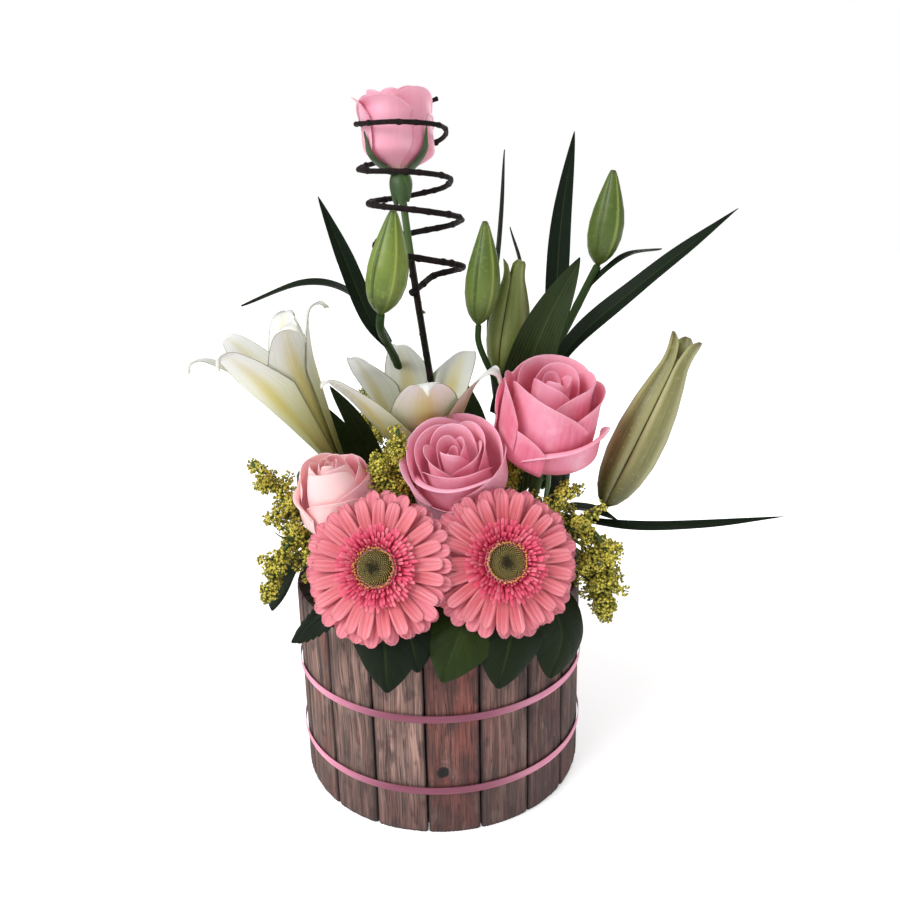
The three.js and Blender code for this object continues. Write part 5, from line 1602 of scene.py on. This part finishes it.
def bud_valve(bud, length, middle, flare, bow):
    """One of the three parts of a ripe bud, from its foot to its bent tip."""

    def surface(u, v):
        t = 0.01 + 0.99 * v
        open_tip = ramp(t, 0.8, 1)
        half = VALVE_HALF_ANGLE * (1 - 0.55 * open_tip**1.5)
        half = half * np.sqrt(np.clip(1 - np.maximum(v - 0.95, 0) / 0.052, 0.02, 1))
        seam, rib = np.abs(u) ** 7, hump(u, 0.3)
        r = bud["radius"] * bud_size(t) * (1 - 0.12 * seam + 0.035 * rib) + flare * open_tip**1.8
        angle = middle + u * half
        z = length * t - 0.22 * flare * open_tip**5
        return np.stack([r * np.cos(angle) + bow * np.sin(np.pi * t), r * np.sin(angle), z], -1)

    return surface


def lily_bud(number, bud):
    draw = draws("lily_bud", number)
    base, tip = np.array(bud["base"], float), np.array(bud["tip"], float)
    length = np.linalg.norm(tip - base)
    put = standing(base, tip - base, draw.uniform(-0.15, 0.15))
    parted = bud["parted"]
    piece = Piece()
    angle = np.arange(60) / 60 * 2 * np.pi
    around, t = np.meshgrid(angle, np.linspace(0.002, 0.86 if parted else 1.0, 46))
    seam = hump(off_third(around), 0.2)
    rib = 0.5 - 0.5 * np.cos(6 * around)
    keel = hump(off_third(around - np.pi / 3), 0.35)
    fade = np.sin(np.pi * np.clip(t * 0.93 + 0.04, 0, 1)) ** 0.6
    r = bud["radius"] * bud_size(t) * (1 - fade * (0.13 * seam - 0.035 * keel) + 0.012 * rib)
    r = r * (1 + 0.02 * ripple(number, t * 5, np.cos(around), np.sin(around))) * (0.9 if parted else 1)
    bow = 1.2 * np.sin(np.pi * t)
    rings = np.stack([r * np.cos(around) + bow, r * np.sin(around), t * length], -1)
    place = np.stack([keel, t, seam], -1)
    end = put((bow[-1, 0], 0, rings[-1, 0, 2] + 0.4))
    skin(piece, put(rings), put((0, 0, -2.5)), end, place, (draw.random(), 0, bud["green"]))
    for k in range(3 if parted else 0):
        flare = parted * draw.uniform(0.8, 1.1)
        valve = bud_valve(bud, length, (k + 0.5) / 3 * 2 * math.pi, flare, 1.2)
        blade(piece, valve, 18, 46, 1.0, (draw.random(), 1, bud["green"]), put)
    slot = "bud_cream" if parted else "bud_green"
    piece.make(f"lily_bud_{number}_fine", [BUD_FINISHES[slot]])


for number, bud in BUDS.items():
    lily_bud(number, bud)

# %% [markdown]
# ## Lily stems and strap leaves
# Each lily stem carries short stalks for its flowers and long strap leaves. A strap leaf is dark,
# with a dull shine, folded a little along its rib, and has fine parallel veins.

# %% Lily stem sizes
# A stalk: its points and its radius. A leaf: the points of its rib, which way it faces, its half
# width, and how light it is.
LILY_STEMS = {
    "left": dict(
        stalks=[([(-8, 27, 92), (-9, 28, 150), (-15, 31, 225), (-23, 26, 268), (-29, 4, 288),
                  (-31, -20, 301), (-30, -25.4, 308)], 2.6),
                ([(-9, 28, 160), (-22, 16, 178), (-46, -10, 198), (-59, -21.2, 213)], 2.4),
                ([(-9, 28, 156), (-7, 10, 172), (-4, -7, 186), (-4, -8.8, 196)], 2.4)],
        leaves=[([(-28, 6, 286), (-38, 2, 302), (-52, 0, 340), (-66, 0, 377)], (0.35, -1, 0.2), 6.4, 0.1),
                ([(-29, 6, 286), (-42, 7, 311), (-60, 7, 323), (-80, 5, 325), (-118, 0, 313)],
                 (0.3, -0.25, 1), 6, 0.15),
                ([(-38, -2, 192), (-42, 2, 212), (-52, 0, 238), (-66, -2, 262)],
                 (0.2, -1, 0.3), 7.5, 1.0)],
    ),
    "middle": dict(
        stalks=[([(36, 22, 92), (38, 22, 150), (43, 20, 225), (45, 14, 255), (45, 13.2, 262)], 2.6),
                ([(43, 20, 232), (43, 6, 255), (35, -2, 272), (29, -5, 288), (29, -5.8, 298)], 1.9)],
        leaves=[([(44, 19, 234), (56, 0, 258), (68, -11, 294), (92, -4, 338)],
                 (-0.1, -1, 0.1), 14.5, 1.0),
                ([(43, 21, 226), (38, 32, 290), (45, 33, 350), (49, 28, 404)], (0.9, -0.5, 0), 5, 0.3),
                ([(44, 18, 238), (58, 33, 292), (60, 30, 326), (52, 26, 357)], (0.9, -0.5, 0), 4, 0.4)],
    ),
    "right": dict(
        stalks=[([(52, 14, 92), (55, 16, 150), (66, 20, 215), (79, 20, 272), (92, 20, 300),
                  (104, 20, 324), (107.6, 20, 331)], 2.7),
                ([(57, 17, 160), (76, 6, 168), (94, -16, 172), (106, -24, 182.5)], 2.5)],
        leaves=[([(80, 21, 276), (83, 30, 318), (86, 33, 360), (93, 30, 414)], (-0.2, -1, 0), 7.5, 0.0),
                ([(74, 19, 256), (92, 12, 284), (134, 10, 320), (193, 10, 365)],
                 (-0.5, -0.75, 0.75), 7.5, 0.1),
                ([(100, 20, 316), (113, 17, 329), (127, 17, 338), (149, 20, 341)],
                 (-0.3, -0.4, 1), 3.5, 0.2),
                ([(70, 11, 166), (84, -12, 178), (98, -26, 182), (114, -33, 177)],
                 (0.3, -0.5, 1), 7, 0.1),
                ([(90, -12, 171), (124, -28, 171), (168, -27, 170), (224, -25, 173)],
                 (0, -0.75, 0.8), 3.4, 0.1)],
    ),
}
JOINT_SPACING = 34.0  # between two of the faint rings on a lily's stalk


def strap_width(v):
    return np.sin(np.pi * np.minimum(0.1 + 0.9 * v, 0.999) ** 0.85) ** 0.8


def ovate_width(v):
    return np.sin(np.pi * np.minimum(0.03 + 0.97 * v, 0.999) ** 1.15) ** 0.75


def leaf_surface(rib, facing, half_width, width_at, fold, wave=0.0, teeth=0.0, groove=0.0, seed=0):
    """A leaf about its rib. fold raises its two edges, wave ruffles them and teeth cut them."""
    path = Path(rib)
    facing = np.array(facing, float)
    phase = seed * 1.7

    def surface(u, v):
        v = np.minimum(v, 1)
        tangent = path.heading(v)
        side = unit(np.cross(tangent, facing))
        up = np.cross(side, tangent)
        half = half_width * width_at(v)
        saw = 1 + teeth * (((v * 13) % 1) - 0.4) * np.abs(u) ** 4
        lift = fold * half * u**2 + wave * np.abs(u) ** 2.5 * np.sin(15 * v + phase + 1.3 * np.sign(u))
        lift = lift - groove * hump(u, 0.07)
        return path.at(v) + side * (u * half * saw)[..., None] + up * lift[..., None]

    return surface


print("strap leaves on each stem:", {side: len(parts["leaves"]) for side, parts in LILY_STEMS.items()})


# %% Strap leaf finish
def leaf_dark():
    """From nearly black to olive green, with fine parallel veins and a paler underside."""
    material, paint = new_finish("leaf_dark")
    across, along, upper = paint.numbers("place")
    tone, leaf, _ = paint.numbers("trait")
    veins = paint.math("SINE", across * 44.0).between(-0.2, 1.0)
    mottle = paint.grain(across * 3.0, along * 9.0, tone * 11.0, 3.0)
    pores = paint.speckle(900.0, 2.0)
    base = paint.coats(
        colour(8, 24, 13),
        (tone, colour(38, 52, 24)),
        (mottle.between(0.4, 0.75) * 0.4, colour(20, 34, 16)),
        (veins * (0.1 + tone * 0.25), colour(62, 76, 42)),
        ((1 - upper) * 0.3, colour(46, 60, 36)),
        (abs(across).between(0.1, 0.0) * 0.3 * leaf, colour(78, 92, 54)),
        ((1 - leaf) * 0.75, colour(48, 72, 32)),
    )
    return close_finish(material, paint, base, 0.42 + mottle * 0.2, veins * 0.6 + pores, 0.00018,
                        specular_ior_level=0.14)


strap_finish = leaf_dark()
print("finish made:", strap_finish.name)


# %% Lily stems with their leaves
def lily_stem(side, parts):
    draw = draws("lily_stem", len(side))
    piece = Piece()
    for points, radius in parts["stalks"]:
        path = Path(points)

        def swollen(t, a, radius=radius, length=path.length):
            joints = hump((t * length) % JOINT_SPACING - JOINT_SPACING / 2, 2.4)
            return radius * (1 + 0.08 * joints + 0.03 * np.sin(4 * a))

        stalk(piece, path, swollen, 14, 80, (0.6, 0, 0))
    for number, (rib, facing, half_width, light) in enumerate(parts["leaves"]):
        surface = leaf_surface(rib, facing, half_width, strap_width, 0.25, wave=0.05 * half_width,
                               groove=0.5, seed=number + draw.uniform(0, 3))
        blade(piece, surface, 16, 60, 0.9, (light, 1, 0))
    piece.make(f"lily_{side}_stem_fine", [strap_finish])


for side, parts in LILY_STEMS.items():
    lily_stem(side, parts)

# %% [markdown]
# ## Broad leaves
# Leathery pointed leaves hang over the rim and fill the back. Each has a sunken midrib, side
# veins that curve to the edge, and a slightly quilted face. The quilting is real geometry, worked
# out from the same numbers that the finish uses to draw the veins.

# %% Sprig sizes
# Each leaf: the points of its rib, its half width, how light it is, and how deep its teeth are.
SPRIGS = {
    "front_left": dict(stem=[(-36, -58, 92), (-38, -64, 150), (-40, -70, 156)], leaves=[
        ([(-40, -70, 155), (-34, -92, 153), (-31, -105, 134), (-31, -109, 107)], 20, 0.1, 0),
        ([(-40, -70, 155), (-56, -88, 153), (-70, -92, 145), (-86, -88, 129)], 10, 0.05, 0.2),
        ([(-39, -71, 155), (-27, -92, 154), (-17, -105, 140), (-13, -109, 119)], 16, 0.05, 0),
        ([(-39, -70, 155), (-14, -90, 154), (-2, -99, 144), (8, -103, 130)], 17, 0.5, 0)]),
    "front_right": dict(stem=[(36, -60, 92), (38, -66, 150), (39, -71, 156)], leaves=[
        ([(38, -71, 155), (18, -96, 151), (8, -109, 135), (0, -113, 115)], 21, 0.75, 0),
        ([(39, -71, 155), (42, -98, 149), (37, -108, 130), (31, -110, 108)], 19, 0.2, 0),
        ([(40, -70, 155), (60, -88, 153), (69, -95, 134), (62, -98, 106)], 20, 0.25, 0)]),
    "left": dict(stem=[(-70, 4, 92), (-72, 4, 150), (-74, 4, 156)], leaves=[
        ([(-74, 3, 155), (-90, -24, 158), (-99, -46, 152), (-101, -62, 136)], 17, 0.15, 0),
        ([(-74, 4, 155), (-98, 2, 158), (-112, 0, 140), (-117, -2, 116)], 19, 0.3, 0),
        ([(-74, 5, 155), (-90, 26, 166), (-98, 42, 178), (-102, 60, 184)], 18, 0.5, 0)]),
    "right": dict(stem=[(70, 2, 92), (72, 2, 150), (74, 2, 156)], leaves=[
        ([(74, 1, 155), (92, -20, 151), (101, -34, 136), (104, -42, 116)], 12, 0.2, 0),
        ([(74, 3, 155), (98, 10, 160), (112, 16, 148), (119, 22, 124)], 19, 0.35, 0),
        ([(74, 3, 155), (86, 24, 172), (92, 38, 192), (98, 52, 202)], 18, 0.4, 0)]),
    "back_left": dict(stem=[(-46, 58, 92), (-48, 60, 150), (-50, 63, 156)], leaves=[
        ([(-50, 63, 155), (-66, 80, 158), (-76, 92, 142), (-80, 98, 118)], 19, 0.3, 0),
        ([(-50, 63, 155), (-36, 88, 158), (-30, 106, 142), (-28, 113, 116)], 19, 0.2, 0),
        ([(-50, 63, 155), (-66, 56, 186), (-74, 54, 212), (-80, 52, 238)], 19, 0.45, 0),
        ([(-49, 63, 155), (-20, 64, 180), (-14, 66, 206), (-14, 66, 234)], 19, 0.25, 0)]),
    "back_right": dict(stem=[(42, 60, 92), (44, 62, 150), (46, 65, 156)], leaves=[
        ([(46, 65, 155), (66, 78, 158), (80, 86, 142), (86, 90, 116)], 19, 0.2, 0),
        ([(46, 65, 155), (32, 90, 158), (24, 107, 142), (22, 113, 116)], 19, 0.35, 0),
        ([(46, 65, 155), (62, 56, 186), (68, 52, 214), (72, 50, 242)], 19, 0.3, 0),
        ([(46, 65, 154), (30, 58, 190), (24, 56, 222), (22, 56, 252)], 18, 0.5, 0)]),
}
SPRIG_STEM_RADIUS = 2.0
SIDE_VEINS = 8.0  # pairs of side veins along a leaf
VEIN_SLANT = 0.34  # how far towards the tip a side vein runs on its way to the edge


def vein_phase(u, v):
    """Counts side veins: a whole number lies on a vein."""
    return (v - VEIN_SLANT * np.abs(u) + 0.1 * u**2) * SIDE_VEINS


def broad_leaf(piece, rib, half_width, light, teeth, draw):
    first, last = np.array(rib[0], float), np.array(rib[-1], float)
    outward = unit(np.array([last[0], last[1], 0.0]))
    facing = outward + np.array([0, 0, 0.8 if last[2] < first[2] + 20 else 0.2])
    plain = leaf_surface(rib, facing, half_width, ovate_width, -0.22, wave=0.045 * half_width,
                         teeth=teeth, groove=0.7, seed=draw.uniform(0, 6))
    quilt = 0.016 * half_width

    def surface(u, v):
        middle = plain(u, v)
        normal = unit(np.cross(np.gradient(middle, axis=1), np.gradient(middle, axis=0)))
        phase = vein_phase(u, v)
        pillow = np.abs(np.sin(np.pi * phase)) ** 0.6 * np.clip(4 * np.abs(u) * (1.05 - np.abs(u)), 0, 1)
        return middle + normal * (quilt * pillow)[..., None]

    blade(piece, surface, 26, 54, 0.9, (light, 1, draw.random()))


print("broad leaves on each sprig:", {side: len(parts["leaves"]) for side, parts in SPRIGS.items()})


# %% Broad leaf finish
def leaf_broad():
    """Nearly black to olive green, with a faint net, side veins that slant to the tip and a midrib."""
    material, paint = new_finish("leaf_broad")
    across, along, upper = paint.numbers("place")
    tone, leaf, _ = paint.numbers("trait")
    phase = (along - VEIN_SLANT * abs(across) + across * across * 0.1) * SIDE_VEINS
    on_vein = abs(paint.math("SINE", phase * math.pi)).between(0.2, 0.02)
    midrib = abs(across).between(0.07, 0.015)
    net = paint.speckle(520.0, 3.0)
    cloud = paint.speckle(60.0, 2.0)
    base = paint.coats(
        colour(4, 14, 5),
        (tone, colour(46, 62, 18)),
        (cloud.between(0.35, 0.7) * 0.4, colour(10, 26, 8)),
        (net * 0.15, colour(22, 38, 14)),
        (on_vein * 0.14, colour(40, 58, 24)),
        (midrib * 0.25, colour(66, 82, 38)),
        ((1 - upper) * 0.4, colour(44, 62, 32)),
        (1 - leaf, colour(66, 64, 38)),
    )
    relief = net * 0.5 - on_vein * 0.8
    return close_finish(material, paint, base, 0.45 + net * 0.2, relief, 0.0002, specular_ior_level=0.14)


broad_finish = leaf_broad()
print("finish made:", broad_finish.name)


# %% Sprigs of broad leaves
def woody_radius(t, a):
    return SPRIG_STEM_RADIUS * (1 + 0.06 * np.sin(3 * a + 9 * t))


def sprig(side, parts):
    draw = draws("broadleaf", len(side))
    piece = Piece()
    stalk(piece, Path(parts["stem"]), woody_radius, 10, 30, (0.5, 0, 0))
    for rib, half_width, light, teeth in parts["leaves"]:
        broad_leaf(piece, rib, half_width, light, teeth, draw)
        petiole = Path([parts["stem"][-1], rib[0], Path(rib).at(0.12)])
        stalk(piece, petiole, taper(1.3, 0.8), 8, 12, (0.5, 0, 0))
    piece.make(f"broadleaf_{side}_fine", [broad_finish])


for side, parts in SPRIGS.items():
    sprig(side, parts)

# %% [markdown]
# ## Goldenrod
# Goldenrod is a plume of short arching twigs crowded with tiny yellow florets. The main twigs
# start where the solids have them, by the same seeded draw, and three finer ones stand behind
# each. A twig carries its florets all round, smaller and closer to it towards its tip.

# %% Goldenrod sizes
# A plume: the points of its stem, its number of main twigs, and their reach.
GOLDENROD = {
    "left": ([(-40, -2, 92), (-59, -24, 150), (-84, -45, 190), (-108, -50, 226)], 6, 20),
    "low_left": ([(-46, -26, 92), (-62, -42, 150), (-82, -60, 184), (-96, -69, 166), (-102, -72, 146)],
                 6, 17),
    "centre": ([(2, -34, 92), (-5, -38, 150), (-20, -50, 200), (-21, -58, 246)], 6, 17),
    "inner_right": ([(36, -30, 92), (40, -34, 150), (56, -48, 184), (86, -52, 207)], 5, 17),
    "right": ([(44, -14, 92), (60, -34, 150), (84, -54, 184), (99, -66, 172), (102, -72, 142)], 6, 17),
    "back": ([(-30, 48, 92), (-32, 50, 150), (-44, 62, 200), (-50, 66, 246)], 5, 20),
}
# Three plumes are forked: the same values for the shorter stem beside the main one.
SIDE_STEMS = {
    "inner_right": ([(42, -33, 156), (46, -24, 190), (47, -20, 214), (54, -24, 238)], 6, 16),
    "centre": ([(-10, -41, 168), (-22, -50, 190), (-30, -57, 212), (-33, -60, 228)], 6, 15),
    "right": ([(66, -40, 158), (84, -54, 172), (94, -68, 158), (98, -74, 130)], 6, 15),
}
GOLDENROD_STEM_RADIUS = 1.7
GOLDENROD_STEPS = 10
GOLDENROD_SEED = 11
LAST_TWIG = 0.96  # share of the stem's length, just short of its point
FLORETS_PER_MM = 5.2
FORKED_CROWDING = 0.8  # a forked plume has more twigs, with fewer florets on each
PLUME_RADIUS = 5.6


def seeded_draw(seed):
    """The same numbers from 0 to 1 as the solids draw."""
    state = seed
    while True:
        state = (state * 1664525 + 1013904223) % 4294967296
        yield state / 4294967296


# The main twig and three more: the angle between them, their size, and how far back they start.
TWIGS_OF_ONE_FOOT = [(0.0, 1.0, 0.0), (1.6, 1.1, 0.03), (3.1, 1.2, 0.05), (4.7, 1.05, 0.08)]


def twig_paths(stem, branches, reach, seed):
    """The twigs of one plume, as the solids have them, with three finer ones after each."""
    draw = seeded_draw(seed)
    path = Path(stem)
    twigs = []
    for b in range(branches):
        t = min(LAST_TWIG, (GOLDENROD_STEPS - branches + 1 + b) / GOLDENROD_STEPS)
        tangent = path.heading(t)
        turn = b * 2.4 + next(draw) * 0.5
        side = unit(np.array([tangent[1], -tangent[0], 0.2]))
        other = unit(np.cross(side, tangent))
        share = b / (branches - 1)
        length = reach * (1.1 - 0.55 * share) * (0.85 + 0.3 * next(draw))
        spread = 1 - 0.6 * share**3
        for spin, size, back in TWIGS_OF_ONE_FOOT:
            foot = path.at(t - back)
            out = side * math.cos(turn + spin) + other * math.sin(turn + spin)

            def along(sideways, ahead, foot=foot, out=out, size=size):
                return foot + out * length * sideways * spread * size + tangent * length * ahead * size

            twigs.append((Path([foot, along(0.5, 0.45), along(1, 0.6)]), size))
    return path, twigs


print("main twigs on each plume:", {side: plume[1] for side, plume in GOLDENROD.items()})


# %% Goldenrod finish
def goldenrod_floret():
    """Olive buds inside, yellow at the tips, and green twigs."""
    material, paint = new_finish("goldenrod_floret")
    _, along, _ = paint.numbers("place")
    tone, bloom, _ = paint.numbers("trait")
    speck = paint.speckle(1400.0, 2.0)
    base = paint.coats(
        colour(114, 112, 34),
        (along.between(0.1, 0.9), colour(228, 212, 86)),
        (tone.between(0.4, 1.0) * 0.5, colour(176, 172, 58)),
        (speck.between(0.5, 0.8) * 0.5, colour(236, 226, 126)),
        (1 - bloom, colour(74, 96, 42)),
    )
    return close_finish(material, paint, base, 0.65 + speck * 0.2, speck, 0.0002)


floret_finish = goldenrod_floret()
print("finish made:", floret_finish.name)


# %% Goldenrod plumes
def goldenrod(side, stem, branches, reach, seed):
    draw = draws("goldenrod", seed)
    path, twigs = twig_paths(stem, branches, reach, seed)
    piece = Piece()
    stalk(piece, path, taper(GOLDENROD_STEM_RADIUS, 1.0), 8, 60, (0.5, 0, 0))
    crowding = 1.0
    if side in SIDE_STEMS:
        crowding = FORKED_CROWDING
        beside, more = twig_paths(*SIDE_STEMS[side], seed)
        stalk(piece, beside, taper(1.2, 0.7), 8, 40, (0.5, 0, 0))
        twigs = twigs + more
    floret = small_shape([(0, 0), (0.34, 0.3), (0.62, 1.1), (0.3, 1.05), (0, 1.3)], 8, 0.35, 4)
    for twig, size in twigs:
        stalk(piece, twig, taper(0.6, 0.3), 6, 12, (0.5, 0, 0))
        count = int(twig.length * FLORETS_PER_MM * crowding * (0.6 + 0.4 * size))
        share = np.sort(draw.uniform(0.06, 1.0, count))
        heads, sides, others = twig.frames(share)
        spin = draw.uniform(0, 2 * np.pi, count)
        out = sides * np.cos(spin)[:, None] + others * np.sin(spin)[:, None]
        away = PLUME_RADIUS * draw.uniform(0.15, 0.95, count) * (1.05 - 0.45 * share)
        centres = twig.at(share) + out * away[:, None] * 0.8
        headings = out + heads * draw.uniform(0.2, 1.1, count)[:, None]
        sizes = draw.uniform(1.05, 1.85, count) * (1.1 - 0.35 * share)
        traits = np.stack([draw.random(count), np.ones(count), np.zeros(count)], -1)
        scatter(piece, floret, centres, headings, sizes, traits)
    for share in np.linspace(0.42, 0.72, 4):
        foot, head = path.at(share), path.heading(share)
        out = unit(np.cross(head, draw.normal(0, 1, 3)))
        rib = [foot, foot + out * 6 + head * 5, foot + out * 12 + head * 7]
        surface = leaf_surface(rib, head + 0.2 * out, 1.9, strap_width, 0.3)
        blade(piece, surface, 6, 14, 0.5, (0.3, 0, 0))
    piece.make(f"goldenrod_{side}_fine", [floret_finish])


for number, (side, (stem, branches, reach)) in enumerate(GOLDENROD.items()):
    goldenrod(side, stem, branches, reach, GOLDENROD_SEED + number)

# %% [markdown]
